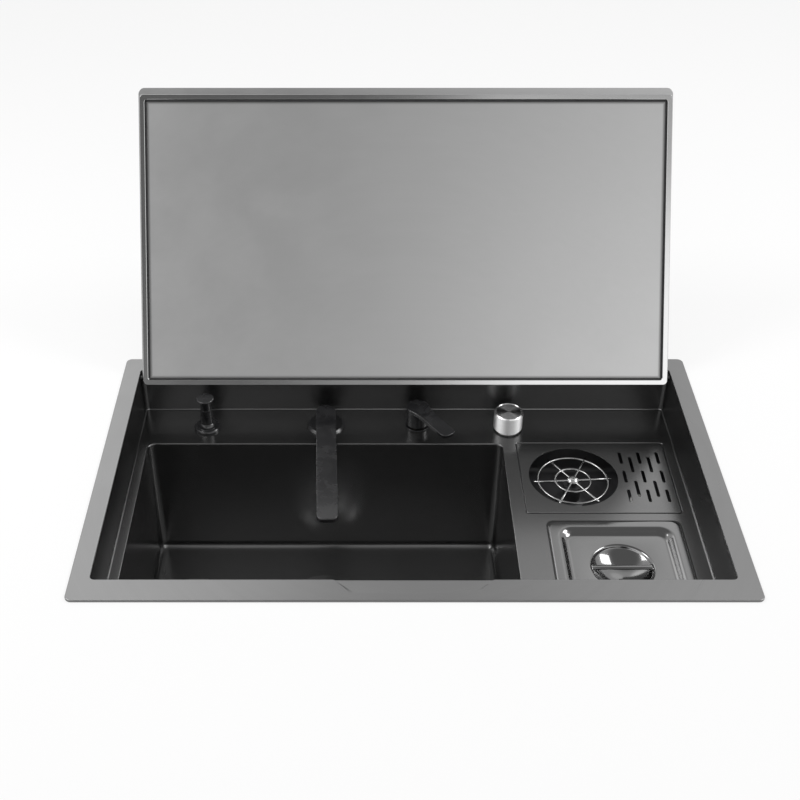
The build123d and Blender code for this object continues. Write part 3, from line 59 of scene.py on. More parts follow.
class Grain(Enum):
    """How a metal is worked, as the stretch of its pattern along, across and up.

    Lines run round an upright axis, or round the sink's middle, so that they follow its sides.
    """

    LINED = (0.015, 1.0, 1.0)
    NONE = (1.0, 1.0, 1.0)


# Node graphs


class Graph:
    """Adds nodes to one node tree and joins them."""

    def __init__(self, tree: bpy.types.NodeTree) -> None:
        """Keep the tree that the nodes go into.

        Args:
            tree: The node tree of a material, a world or a group.
        """
        self.tree = tree

    def add(self, kind: str, inputs: dict | None = None, **settings: object) -> bpy.types.Node:
        """Add a node and fill in its sockets.

        Args:
            kind: The node's class name without "ShaderNode".
            inputs: Socket name or number, with a value or a socket to join to it.
            **settings: Other properties of the node.

        Returns:
            The new node.
        """
        node = self.tree.nodes.new(f"ShaderNode{kind}")
        for name, value in settings.items():
            setattr(node, name, value)
        self.fill(node, inputs or {})
        return node

    def fill(self, node: bpy.types.Node, inputs: dict) -> None:
        """Set or join the sockets of a node.

        Args:
            node: The node.
            inputs: Socket name or number, with a value or a socket to join to it.
        """
        for name, value in inputs.items():
            socket = node.inputs[name]
            if isinstance(value, Socket):
                self.tree.links.new(value, socket)
            else:
                socket.default_value = value

    def math(self, operation: str, first: object, second: object = 0.0) -> Socket:
        """Work out a number from one or two others.

        Args:
            operation: The name of the Math node's operation.
            first: A value or a socket.
            second: A value or a socket.

        Returns:
            The socket that holds the result.
        """
        return self.add("Math", {0: first, 1: second}, operation=operation).outputs[0]

    def spread(self, value: Socket, low: float, high: float) -> Socket:
        """Stretch a value from 0..1 to a range.

        Args:
            value: The socket to stretch.
            low: What 0 becomes.
            high: What 1 becomes.

        Returns:
            The socket that holds the result.
        """
        return self.add("MapRange", {"Value": value, "To Min": low, "To Max": high}).outputs["Result"]

    def ease(self, value: Socket, start: float, end: float, low: object, high: object) -> Socket:
        """Turn softly from one value to another while a third goes from start to end.

        Args:
            value: The socket that drives the turn.
            start: Where the turn starts.
            end: Where it ends.
            low: The value before it, a number or a socket.
            high: The value after it, a number or a socket.

        Returns:
            The socket that holds the result.
        """
        node = self.add(
            "MapRange",
            {"Value": value, "From Min": start, "From Max": end, "To Min": low, "To Max": high},
            interpolation_type="SMOOTHSTEP",
        )
        return node.outputs["Result"]

    def vector(self, operation: str, first: object, second: object) -> Socket:
        """Work out a vector from two others.

        Args:
            operation: The name of the Vector Math node's operation.
            first: A vector or a socket.
            second: A vector or a socket.

        Returns:
            The socket that holds the result.
        """
        return self.add("VectorMath", {0: first, 1: second}, operation=operation).outputs[0]

    def scaled(self, point: Socket, size: object) -> Socket:
        """Measure a point in units of a size.

        Args:
            point: The socket with the point.
            size: The unit, a number or a socket.

        Returns:
            The socket that holds the result.
        """
        finer = self.math("DIVIDE", 1.0, size)
        return self.add("VectorMath", {0: point, "Scale": finer}, operation="SCALE").outputs[0]

    def blend(self, share: object, first: object, second: object) -> Socket:
        """Mix two colours.

        Args:
            share: How much of the second there is, a number or a socket.
            first: A colour or a socket.
            second: A colour or a socket.

        Returns:
            The socket that holds the result.
        """
        return self.add("Mix", {0: share, 6: first, 7: second}, data_type="RGBA").outputs[2]

    def choose(self, share: object, first: object, second: object) -> Socket:
        """Mix two numbers.

        Args:
            share: How much of the second there is, a number or a socket.
            first: A number or a socket.
            second: A number or a socket.

        Returns:
            The socket that holds the result.
        """
        return self.add("Mix", {0: share, 2: first, 3: second}, data_type="FLOAT").outputs[0]

    def measure(self, operation: str, first: object, second: object = (0.0, 0.0, 0.0)) -> Socket:
        """Work out a number from one or two vectors.

        Args:
            operation: The name of the Vector Math node's operation.
            first: A vector or a socket.
            second: A vector or a socket.

        Returns:
            The socket that holds the result.
        """
        return self.add("VectorMath", {0: first, 1: second}, operation=operation).outputs["Value"]

    def part(self, point: Socket, axis: str) -> Socket:
        """Read one part, X, Y or Z, of a vector."""
        return self.add("SeparateXYZ", {"Vector": point}).outputs[axis]

    def grey(self, value: Socket) -> Socket:
        """Turn a number into a neutral colour."""
        return self.add("CombineColor", {"Red": value, "Green": value, "Blue": value}).outputs["Color"]

    def group(self, made: bpy.types.NodeTree, inputs: dict) -> bpy.types.Node:
        """Place a node group.

        Args:
            made: The group's own tree.
            inputs: Its sockets, as for add.

        Returns:
            The node that stands for the group.
        """
        node = self.tree.nodes.new("ShaderNodeGroup")
        node.node_tree = made
        self.fill(node, inputs)
        return node


def new_group(
    name: str, inputs: dict[str, object], outputs: dict[str, str]
) -> tuple[Graph, dict, bpy.types.Node]:
    """Start a node group with named sockets.

    Args:
        name: The group's name.
        inputs: Each input's name with its default, a number or a vector.
        outputs: Each output's name with its socket type.

    Returns:
        The graph, the input sockets by name and the group's output node.
    """
    tree = bpy.data.node_groups.new(name, "ShaderNodeTree")
    for socket_name, default in inputs.items():
        kind = "NodeSocketFloat" if isinstance(default, float) else "NodeSocketVector"
        socket = tree.interface.new_socket(socket_name, in_out="INPUT", socket_type=kind)
        socket.default_value = default
    for socket_name, kind in outputs.items():
        tree.interface.new_socket(socket_name, in_out="OUTPUT", socket_type=kind)
    start = tree.nodes.new("NodeGroupInput")
    end = tree.nodes.new("NodeGroupOutput")
    return Graph(tree), {socket.name: socket for socket in start.outputs if socket.name}, end


def new_material(name: str) -> tuple[bpy.types.Material, Graph, bpy.types.Node]:
    """Start a material.

    Args:
        name: The material's name.

    Returns:
        The material, its graph and its Principled BSDF.
    """
    made = bpy.data.materials.new(name)
    made.use_nodes = True
    return made, Graph(made.node_tree), made.node_tree.nodes["Principled BSDF"]


class Effects:
    """The node groups that the finishes share, each built once."""

    def __init__(self) -> None:
        """Build every group."""
        self.lines = self._lines()
        self.turned = self._turned()
        self.smudge = self._smudge()
        self.worn_and_highlit_edge = self._worn_and_highlit_edge()
        self.orange_peel = self._orange_peel()
        self.margin = self._edge_shade()

    @staticmethod
    def _lines() -> bpy.types.NodeTree:
        """Build fine lines of a worked metal and the broader bands among them.

        Returns:
            The group.
        """
        graph, given, end = new_group(
            "metal_lines",
            {"Point": (0.0, 0.0, 0.0), "Width": 0.0005},
            {"Line": "NodeSocketFloat", "Band": "NodeSocketFloat"},
        )
        fine = graph.scaled(given["Point"], given["Width"])
        line = graph.add("TexNoise", {"Vector": fine, "Scale": 1.0, "Detail": 3.0, "Roughness": 0.6})
        band = graph.add("TexNoise", {"Vector": fine, "Scale": 0.06, "Detail": 2.0, "Roughness": 0.5})
        graph.fill(end, {"Line": line.outputs[0], "Band": band.outputs[0]})
        return graph.tree

    @staticmethod
    def _turned() -> bpy.types.NodeTree:
        """Build a point measured round, outward and up from an upright axis.

        Returns:
            The group.
        """
        graph, given, end = new_group(
            "turned_way",
            {"Point": (0.0, 0.0, 0.0), "Centre": (0.0, 0.0, 0.0)},
            {"Point": "NodeSocketVector", "Tangent": "NodeSocketVector"},
        )
        away = graph.vector("SUBTRACT", given["Point"], given["Centre"])
        parts = graph.add("SeparateXYZ", {"Vector": away}).outputs
        level = graph.vector("MULTIPLY", away, (1.0, 1.0, 0.0))
        radius = graph.measure("LENGTH", level)
        round_it = graph.math("MULTIPLY", graph.math("ARCTAN2", parts["Y"], parts["X"]), RADIAN_LENGTH)
        ring = graph.add("CombineXYZ", {"X": round_it, "Y": radius, "Z": parts["Z"]}).outputs[0]
        along = graph.vector("CROSS_PRODUCT", (0.0, 0.0, 1.0), level)
        graph.fill(end, {"Point": ring, "Tangent": along})
        return graph.tree

    @staticmethod
    def _smudge() -> bpy.types.NodeTree:
        """Build soft smudges from wiping and touching.

        Returns:
            The group.
        """
        graph, given, end = new_group(
            "smudges", {"Point": (0.0, 0.0, 0.0), "Size": 0.08}, {"Smudge": "NodeSocketFloat"}
        )
        wide = graph.add("TexNoise", {
            "Vector": graph.scaled(given["Point"], given["Size"]),
            "Scale": 1.0, "Detail": 4.0, "Roughness": 0.55, "Distortion": 0.6,
        })
        graph.fill(end, {"Smudge": graph.ease(wide.outputs[0], 0.35, 0.7, 0.0, 1.0)})
        return graph.tree

    @staticmethod
    def _worn_and_highlit_edge() -> bpy.types.NodeTree:
        """Find where the surface turns sharply, where hands and cloths rub first and where a painted
        highlight lightens the edge.

        Returns:
            The group.
        """
        graph, given, end = new_group("worn_and_highlit_edge", {"Radius": 0.0006}, {"Wear And Highlight": "NodeSocketFloat"})
        rounded = graph.add("Bevel", {"Radius": given["Radius"]}, samples=4).outputs["Normal"]
        plain = graph.add("NewGeometry").outputs["Normal"]
        same = graph.measure("DOT_PRODUCT", rounded, plain)
        graph.fill(end, {"Wear And Highlight": graph.ease(same, *EDGE_TURN, 0.0, 1.0)})
        return graph.tree

    @staticmethod
    def _orange_peel() -> bpy.types.NodeTree:
        """Build the fine uneven surface of a sprayed or moulded skin.

        Returns:
            The group.
        """
        graph, given, end = new_group(
            "orange_peel", {"Point": (0.0, 0.0, 0.0), "Size": 0.0012}, {"Height": "NodeSocketFloat"}
        )
        fine = graph.scaled(given["Point"], given["Size"])
        peel = graph.add("TexNoise", {"Vector": fine, "Scale": 1.0, "Detail": 2.0, "Roughness": 0.45})
        graph.fill(end, {"Height": peel.outputs[0]})
        return graph.tree

    @staticmethod
    def _edge_shade() -> bpy.types.NodeTree:
        """Build a mask of painted shade along the four edges of a flat panel, in place of a rolled margin,
        measured in from its edges.

        Returns:
            The group.
        """
        graph, given, end = new_group(
            "panel_edge_shade",
            {"Point": (0.0, 0.0, 0.0), "Up": (0.0, 0.0, 1.0), "Middle": 0.0,
             "Half Width": 0.1, "Half Height": 0.1, "Margin": 0.004},
            {"Mask": "NodeSocketFloat"},
        )
        sideways = graph.math("ABSOLUTE", graph.part(given["Point"], "X"))
        upward = graph.measure("DOT_PRODUCT", given["Point"], given["Up"])
        off_middle = graph.math("ABSOLUTE", graph.math("SUBTRACT", upward, given["Middle"]))
        in_side = graph.math("SUBTRACT", given["Half Width"], sideways)
        in_end = graph.math("SUBTRACT", given["Half Height"], off_middle)
        share = graph.math("DIVIDE", graph.math("MINIMUM", in_side, in_end), given["Margin"])
        graph.fill(end, {"Mask": graph.ease(share, 0.0, 1.0, 1.0, 0.0)})
        return graph.tree


EFFECTS = Effects()


# Finishes

EDGE_SHADE_TONE = 0.42  # the share of its colour that a panel keeps under the painted shade along its edges
UPRIGHT_TO_LEVEL = (0.2, 0.6)  # how far up a face's normal points while upright turns to level
LINE_DEPTH = 0.01 * MM
QUARTER_TURN = 0.25  # turns highlights across the lines
CLEAR_COAT_ROUGHNESS = 0.08
RUBBED_AND_HIGHLIT = (0.35, 0.35, 0.35, 1.0)  # the colour of a worn coat at its edges, which also serves as a painted edge highlight


@dataclass(frozen=True)
class Metal:
    """A bare or tinted metal, with its brushing and the marks of handling.

    Attributes:
        name: The material's name.
        tone: How much light it reflects, from 0 to 1.
        roughness: Its mean roughness.
        grain: How it is worked.
        lines: How strongly the lines show in tone and roughness.
        line_width: The width of one line.
        anisotropy: How far highlights are drawn out across the lines.
        smudge: How much smudges add to the roughness.
        centre: The axis of its lines, in plan.
        tint: The colour of the metal, as a share of its tone.
        metallic: How far it mirrors; the rest of the light is scattered.
        graze: How much of the light it keeps where it is seen along its surface.
        side: How much rougher its upright faces are than its level ones.
        margin: Painted shade along a panel's four edges, in place of a rolled margin: its way
            up, then its middle, half width, half height and width along these, or nothing.
    """

    name: str
    tone: float
    roughness: float
    grain: Grain = Grain.LINED
    lines: float = 0.04
    line_width: float = 0.0006
    anisotropy: float = 0.4
    smudge: float = 0.02
    centre: tuple[float, float] = (0.0, 0.0)
    tint: Point = (1.0, 1.0, 1.0)
    metallic: float = 1.0
    graze: float = 1.0
    side: float = 0.0
    margin: tuple[Point, float, float, float, float] | None = None

    def material(self) -> bpy.types.Material:
        """Build the material, or find it if it was built before.

        Returns:
            The material.
        """
        found = bpy.data.materials.get(self.name)
        if found:
            return found
        made, graph, shader = new_material(self.name)
        point = graph.add("TexCoord").outputs["Object"]
        worked = graph.group(EFFECTS.turned, {"Point": point, "Centre": (*self.centre, 0.0)}).outputs
        pattern = point if self.grain is Grain.NONE else worked["Point"]
        stretched = graph.vector("MULTIPLY", pattern, self.grain.value)
        lines = graph.group(EFFECTS.lines, {"Point": stretched, "Width": self.line_width})
        smudge = graph.group(EFFECTS.smudge, {"Point": point}).outputs["Smudge"]
        both = graph.math("MULTIPLY", graph.math("ADD", lines.outputs["Line"], lines.outputs["Band"]), 0.5)
        tone = graph.spread(both, self.tone * (1 - self.lines), self.tone * (1 + self.lines))
        colour = graph.grey(tone)
        if self.tint != (1.0, 1.0, 1.0):
            colour = graph.vector("MULTIPLY", colour, self.tint)
        # Painted shade: the colour darkens towards the panel's edges, standing in for a rolled margin.
        if self.margin:
            placed = dict(zip(("Up", "Middle", "Half Width", "Half Height", "Margin"), self.margin))
            painted_shade = graph.group(EFFECTS.margin, {"Point": point, **placed}).outputs["Mask"]
            colour = graph.grey(graph.math("MULTIPLY", tone, graph.ease(painted_shade, 0.0, 1.0, 1.0, EDGE_SHADE_TONE)))
        swing = self.lines / 3
        base = graph.spread(both, self.roughness - swing, self.roughness + swing)
        rough = graph.math("ADD", base, graph.math("MULTIPLY", smudge, self.smudge))
        if self.side:
            level = graph.math("ABSOLUTE", graph.part(graph.add("NewGeometry").outputs["Normal"], "Z"))
            rough = graph.math("ADD", rough, graph.ease(level, *UPRIGHT_TO_LEVEL, self.side, 0.0))
        bump = graph.add("Bump", {"Strength": 0.25, "Distance": LINE_DEPTH, "Height": lines.outputs["Line"]})
        graph.fill(shader, {
            "Base Color": colour, "Roughness": rough, "Normal": bump.outputs["Normal"],
            "Metallic": self.metallic, "Specular Tint": (self.graze, self.graze, self.graze, 1.0),
            "Anisotropic": self.anisotropy, "Anisotropic Rotation": QUARTER_TURN,
        })
        if self.anisotropy:
            graph.fill(shader, {"Tangent": worked["Tangent"]})
        made.diffuse_color = (self.tone, self.tone, self.tone, 1.0)
        return made


@dataclass(frozen=True)
class Coat:
    """A sprayed, moulded or rubber surface.

    Attributes:
        name: The material's name.
        colour: Its colour.
        roughness: Its mean roughness.
        peel: The height of its uneven surface.
        peel_size: The width of one bump of it.
        wear_and_highlight: How much lighter its edges are, partly worn coat and partly a painted highlight.
        coat: The weight of a clear top layer.
        clear: How much light it lets through.
    """

    name: str
    colour: Point
    roughness: float
    peel: float = 0.000004
    peel_size: float = 0.0012
    wear_and_highlight: float = 0.0
    coat: float = 0.0
    clear: float = 0.0

    def material(self) -> bpy.types.Material:
        """Build the material, or find it if it was built before.

        Returns:
            The material.
        """
        found = bpy.data.materials.get(self.name)
        if found:
            return found
        made, graph, shader = new_material(self.name)
        point = graph.add("TexCoord").outputs["Object"]
        smudge = graph.group(EFFECTS.smudge, {"Point": point, "Size": 0.03}).outputs["Smudge"]
        peel = graph.group(EFFECTS.orange_peel, {"Point": point, "Size": self.peel_size}).outputs["Height"]
        lighter = tuple(min(1.0, 0.05 + 1.1 * channel) for channel in self.colour)
        colour = graph.blend(graph.spread(smudge, 0.0, 0.25), (*self.colour, 1.0), (*lighter, 1.0))
        # Lightens sharp edges: partly the coat worn through, partly a painted highlight along them.
        if self.wear_and_highlight:
            edge = graph.group(EFFECTS.worn_and_highlit_edge, {}).outputs["Wear And Highlight"]
            colour = graph.blend(graph.math("MULTIPLY", edge, self.wear_and_highlight), colour, RUBBED_AND_HIGHLIT)
        rough = graph.math("ADD", self.roughness, graph.spread(smudge, -0.04, 0.06))
        bump = graph.add("Bump", {"Strength": 0.5, "Distance": self.peel, "Height": peel}).outputs["Normal"]
        graph.fill(shader, {
            "Base Color": colour, "Roughness": rough, "Normal": bump, "Transmission Weight": self.clear,
            "Coat Weight": self.coat, "Coat Roughness": CLEAR_COAT_ROUGHNESS,
        })
        made.diffuse_color = (*self.colour, 1.0)
        return made


GUNMETAL = Metal("gunmetal_steel", 0.205, 0.21, anisotropy=0.3, metallic=0.95)
WALL_STEEL = Metal("gunmetal_walls", 0.20, 0.25, anisotropy=0.3, metallic=0.95, graze=0.6)
FLANGE_STEEL = Metal("brushed_gunmetal_flange", 0.24, 0.28, lines=0.08, anisotropy=0.5)
BOWL_STEEL = Metal("gunmetal_bowl", 0.20, 0.22, metallic=0.95)
LID_STEEL = Metal("satin_lid_steel", 0.45, 0.34, anisotropy=0.3)
LID_EDGE_STEEL = Metal("satin_lid_edge", 0.45, 0.30, anisotropy=0.3)
LID_BAND_STEEL = Metal("smooth_lid_band", 0.50, 0.12, anisotropy=0.0)
PRESSED_STEEL = Metal("pressed_cover_steel", 0.22, 0.10, Grain.NONE, anisotropy=0.0, smudge=0.03)
# Painted shade: the pan's steel is much darker than the cover's, standing in for the shadow in the gap round
# the cover.
PAN_STEEL_PAINTED_SHADE = Metal("pan_steel_painted_shade", 0.07, 0.30, Grain.NONE, anisotropy=0.0)
POLISHED = Metal("polished_steel", 0.80, 0.10, Grain.NONE, anisotropy=0.0)
DRAIN_STEEL = Metal("polished_drain_steel", 0.42, 0.16, Grain.NONE, anisotropy=0.0)
WIRE_STEEL = Metal("bright_wire", 0.42, 0.20, Grain.NONE, anisotropy=0.0)
KNOB_STEEL = Metal("turned_knob_steel", 0.92, 0.24, lines=0.08, line_width=0.0005, anisotropy=0.88, side=0.34)
ZINC = Metal("zinc_plated_steel", 0.45, 0.38, Grain.NONE, 0.25, 0.002, anisotropy=0.0)
BRASS = Metal("turned_brass", 0.70, 0.30, Grain.NONE, 0.10, anisotropy=0.0, tint=(1.0, 0.76, 0.42))
BLACK_COAT = Coat("black_fitting_coat", (0.012, 0.012, 0.013), 0.26, wear_and_highlight=0.12, coat=0.25)
JOINT = Coat("grey_lid_joint", (0.08, 0.08, 0.082), 0.55, 0.00001, 0.0008)
RUBBER = Coat("black_rubber", (0.015, 0.015, 0.015), 0.75, 0.00002, 0.0008)
DAMPING_PAD = Coat("damping_pad", (0.05, 0.05, 0.052), 0.85, 0.00008, 0.002)
DARK_PLASTIC = Coat("dark_moulded_plastic", (0.03, 0.03, 0.032), 0.45, 0.00001, 0.0006, wear_and_highlight=0.08)
WHITE_PLASTIC = Coat("white_moulded_plastic", (0.78, 0.78, 0.76), 0.40, 0.00001, 0.0008)
CLEAR_BOTTLE = Coat("translucent_bottle", (0.80, 0.82, 0.82), 0.35, 0.00001, 0.002, clear=0.7)


# Mesh tools

WELD_GAP = 0.002 * MM
FLAT_TURN = radians(0.3)
SHARP_TURN = radians(32.0)
WIRE_SIDES = 12


def soften(piece: bpy.types.Object, width: float) -> None:
    """Give the sharp edges of a piece a small round, and smooth what lies between them.

    Args:
        piece: The piece.
        width: The round's width, or 0 to only smooth.
    """
    piece.data.shade_smooth()
    weld = piece.modifiers.new("weld", "WELD")
    weld.merge_threshold = WELD_GAP
    if width:
        flat = piece.modifiers.new("flat_faces", "DECIMATE")
        flat.decimate_type = "DISSOLVE"
        flat.angle_limit = FLAT_TURN
        bevel = piece.modifiers.new("edge_round", "BEVEL")
        bevel.width = width
        bevel.segments = 2
        bevel.limit_method = "ANGLE"
        bevel.angle_limit = SHARP_TURN
    normal = piece.modifiers.new("even_normals", "WEIGHTED_NORMAL")
    normal.keep_sharp = True


def mesh_piece(
    name: str, points: Iterable[Point], faces: Iterable[Sequence[int]], body: str, finish: Metal
) -> bpy.types.Object:
    """Make a piece from points and faces and let it ride on a body.

    Args:
        name: The piece's name.
        points: Its points.
        faces: Its faces, as numbers of points.
        body: The body that carries it.
        finish: Its finish.

    Returns:
        The new piece.
    """
    mesh = bpy.data.meshes.new(name)
    mesh.from_pydata(list(points), [], list(faces))
    tidy = bmesh.new()
    tidy.from_mesh(mesh)
    bmesh.ops.remove_doubles(tidy, verts=tidy.verts, dist=WELD_GAP / 2)
    bmesh.ops.recalc_face_normals(tidy, faces=tidy.faces)
    tidy.to_mesh(mesh)
    tidy.free()
    mesh.shade_smooth()
    mesh.materials.append(finish.material())
    piece = bpy.data.objects.new(name, mesh)
    bpy.context.scene.collection.objects.link(piece)
    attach(piece, body)
    log.info("built %s in %s", name, finish.name)
    return piece


def turns(count: int) -> list[float]:
    """List the angles that divide a full turn evenly."""
    return [2 * pi * step / count for step in range(count)]


def close_ring(points: list[Point], faces: list[list[int]], first: int, count: int, tip: Point) -> None:
    """Close a ring of points with triangles to a tip.

    Args:
        points: The points, which the tip is added to.
        faces: The faces, which the triangles are added to.
        first: The number of the ring's first point.
        count: How many points the ring has.
        tip: The tip.
    """
    points.append(tip)
    top = len(points) - 1
    faces.extend([first + step, first + (step + 1) % count, top] for step in range(count))


def skin_rings(rings: Sequence[Sequence[Point]], closed: bool = False) -> tuple[list[Point], list[list[int]]]:
    """Join rings of equally many points with faces.

    Args:
        rings: The rings, in order.
        closed: Whether the last ring joins the first.

    Returns:
        The points and the faces.
    """
    count = len(rings[0])
    points = [point for ring in rings for point in ring]
    faces = []
    for row in range(len(rings) if closed else len(rings) - 1):
        start, after = row * count, (row + 1) % len(rings) * count
        for step in range(count):
            turn = (step + 1) % count
            faces.append([start + step, start + turn, after + turn, after + step])
    return points, faces


def tube(path: Sequence[Vector], radius: float) -> tuple[list[Point], list[list[int]]]:
    """Make a round tube along a level path, with a low tip at each end.

    Args:
        path: The points along its middle.
        radius: Its radius.

    Returns:
        The points and the faces.
    """
    rings: list[list[Point]] = []
    for number, point in enumerate(path):
        before, after = path[max(number - 1, 0)], path[min(number + 1, len(path) - 1)]
        along = (after - before).normalized()
        side = along.cross(Vector((0.0, 0.0, 1.0))).normalized()
        up = side.cross(along)
        rings.append([
            tuple(point + (side * cos(turn) + up * sin(turn)) * radius) for turn in turns(WIRE_SIDES)
        ])
    points, faces = skin_rings(rings)
    for end, inner, first in ((path[0], path[1], 0), (path[-1], path[-2], len(points) - WIRE_SIDES)):
        tip = end + (end - inner).normalized() * radius / 2
        close_ring(points, faces, first, WIRE_SIDES, tuple(tip))
    return points, faces


def dress(nodes: Iterable[str], finish: Metal | Coat, width: float = 0.0002) -> None:
    """Give nodes their finish and rounded edges.

    Args:
        nodes: The nodes' names.
        finish: The finish that they share.
        width: How wide the round of their sharp edges is.
    """
    for node in nodes:
        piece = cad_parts[node]
        piece.data.materials.clear()
        piece.data.materials.append(finish.material())
        soften(piece, width)
        log.info("dressed %s in %s", node, finish.name)


# Sub-assemblies


@dataclass
class Surround:
    """The flange, the recess below it, the sunken deck and what holds them down."""

    edge: float = 0.4 * MM

    def build(self) -> None:
        """Dress the sheet metal and the fixings."""
        dress(["top_flange"], FLANGE_STEEL, self.edge)
        dress(["recess_walls"], WALL_STEEL, self.edge)
        dress(["deck_plate"], GUNMETAL, self.edge)
        dress(["recess_seam"], GUNMETAL, 0.0)
        dress(["mount_clips", "clip_screws"], ZINC)
        dress(["lid_rest_pads"], RUBBER)


@dataclass
class Bowl:
    """The bowl with its damping pads and its drain."""

    edge: float = 0.4 * MM

    def build(self) -> None:
        """Dress the bowl and the drain."""
        dress(["bowl_shell"], BOWL_STEEL, self.edge)
        dress(["sound_pads"], DAMPING_PAD)
        dress(["drain_flange", "drain_basket", "drain_lifter"], DRAIN_STEEL)
        dress(["drain_gasket"], RUBBER)
        dress(["drain_lock_nut", "drain_tailpiece"], WHITE_PLASTIC)


@dataclass
class FoldingLid:
    """The lid and its hinge."""

    edge: float = 0.4 * MM
    open_angle: float = radians(122.0)
    # the width of the painted shade along the inner panel's edges
    margin: float = 5.0 * MM

    def build(self) -> None:
        """Dress the lid's sheets, its dark joint and its hinge."""
        dress(["lid_skin"], LID_EDGE_STEEL, self.edge)
        dress(["lid_frame"], LID_BAND_STEEL, self.edge)
        dress(["lid_inner_panel"], self._panel_steel(), self.edge)
        dress(["lid_seal"], JOINT)
        dress(["lid_ribs"], ZINC)
        dress(["lid_hinge_pins"], BLACK_COAT)
        dress(["lid_hinge_bushes", "lid_hinge_housings"], DARK_PLASTIC)

    def _panel_steel(self) -> Metal:
        """Measure the inner panel and give its steel painted shade along all four edges, in place of a margin
        that turns away.

        Returns:
            The panel's steel.
        """
        up = (0.0, -cos(self.open_angle), sin(self.open_angle))
        corners = [vertex.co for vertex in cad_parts["lid_inner_panel"].data.vertices]
        heights = [Vector(up).dot(corner) for corner in corners]
        low, high = min(heights), max(heights)
        half_width = max(corner.x for corner in corners)
        return replace(LID_STEEL, margin=(up, (high + low) / 2, half_width, (high - low) / 2, self.margin))


@dataclass
class BladeTap:
    """The swivelling blade spout."""

    edge: float = 0.3 * MM

    def build(self) -> None:
        """Dress the spout and its shank."""
        dress(["tap_ring", "tap_column", "tap_spout"], BLACK_COAT, self.edge)
        dress(["tap_aerator"], DARK_PLASTIC)
        dress(["tap_shank", "tap_nut"], BRASS)
        dress(["tap_washer"], RUBBER)


@dataclass
class LeverMixer:
    """The lever and the cartridge under it."""

    edge: float = 0.3 * MM

    def build(self) -> None:
        """Dress the lever, its turret and what is below the deck."""
        dress(["mixer_lever", "mixer_base"], BLACK_COAT, self.edge)
        dress(["mixer_turret", "mixer_nut", "mixer_tails"], BRASS)
        dress(["mixer_lever_pin"], ZINC)
        dress(["mixer_cartridge"], WHITE_PLASTIC)


@dataclass
class DrainKnob:
    """The turned steel knob that works the drain."""

    centre: tuple[float, float] = (147.1 * MM, 170.6 * MM)
    edge: float = 0.2 * MM

    def build(self) -> None:
        """Dress the knob, its foot and its cable gland."""
        turned = replace(KNOB_STEEL, centre=self.centre)
        dress(["drain_knob", "knob_base"], turned, self.edge)
        dress(["knob_nut"], BRASS)
        dress(["knob_cable_gland"], DARK_PLASTIC)


@dataclass
class SoapPump:
    """The soap dispenser with its bottle."""

    edge: float = 0.3 * MM

    def build(self) -> None:
        """Dress the pump and the bottle."""
        dress(["soap_base", "soap_head"], BLACK_COAT, self.edge)
        dress(["soap_nut"], DARK_PLASTIC)
        dress(["soap_piston_rod", "soap_spring"], ZINC)
        dress(["soap_dip_tube"], WHITE_PLASTIC)
        dress(["soap_bottle"], CLEAR_BOTTLE)


@dataclass
class GlassRinser:
    """The drip panel, the spider that a glass pushes down, and the tray under them."""

    centre: tuple[float, float] = (227.3 * MM, 63.0 * MM)
    wire_level: float = -76.0 * MM
    wire: float = 1.5 * MM
    rings: tuple[float, float] = (47.5 * MM, 24.0 * MM)
    reach: float = 54.0 * MM
    ring_steps: int = 72
    hub_radius: float = 8.0 * MM
    hub_bore: float = 3.55 * MM
    hub_edge: float = 0.6 * MM
    hub_sides: int = 48
    spokes: int = 3
    turn: float = radians(3.5)
    edge: float = 0.3 * MM

    def build(self) -> None:
        """Make the wires round and dress the rinser."""
        self._wires()
        dress(["rinser_panel"], GUNMETAL, self.edge)
        dress(["rinser_nozzle"], POLISHED)
        dress(["rinser_tray", "rinser_plunger", "rinser_valve_body"], DARK_PLASTIC)
        dress(["rinser_valve_nut"], BRASS)
        dress(["rinser_spring"], ZINC)
        dress(["tray_drain_spigot"], WHITE_PLASTIC)

    def _wires(self) -> None:
        """Build the two rings, the three crossing wires and the hub as one welded piece."""
        points: list[Point] = []
        faces: list[list[int]] = []

        def join(more: tuple[list[Point], list[list[int]]]) -> None:
            """Add a form to the piece.

            Args:
                more: The points and the faces of the form.
            """
            start = len(points)
            points.extend(more[0])
            faces.extend([start + number for number in face] for face in more[1])

        x, y = self.centre
        middle = Vector((x, y, self.wire_level))
        for ring in self.rings:
            circle = []
            for angle in turns(self.ring_steps):
                out, up = Vector((cos(angle), sin(angle), 0.0)), Vector((0.0, 0.0, self.wire))
                circle.append([
                    tuple(middle + out * (ring + self.wire * cos(turn)) + up * sin(turn))
                    for turn in turns(WIRE_SIDES)
                ])
            join(skin_rings(circle, closed=True))
        for spoke in range(self.spokes):
            angle = self.turn + pi / self.spokes * spoke
            out = Vector((cos(angle), sin(angle), 0.0)) * (self.reach - self.wire / 2)
            join(tube([middle + out * share for share in (-1.0, -0.5, 0.0, 0.5, 1.0)], self.wire))
        inner, outer, side = self.hub_radius - self.hub_edge, self.hub_radius, self.wire - self.hub_edge
        profile = [
            (self.hub_bore, -self.wire), (inner, -self.wire), (outer, -side),
            (outer, side), (inner, self.wire), (self.hub_bore, self.wire),
        ]
        hub = [
            [(x + radius * cos(turn), y + radius * sin(turn), self.wire_level + height)
             for turn in turns(self.hub_sides)]
            for radius, height in profile
        ]
        join(skin_rings(hub, closed=True))
        piece = mesh_piece("spider_wires", points, faces, "spider", WIRE_STEEL)
        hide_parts("rinser_spider")


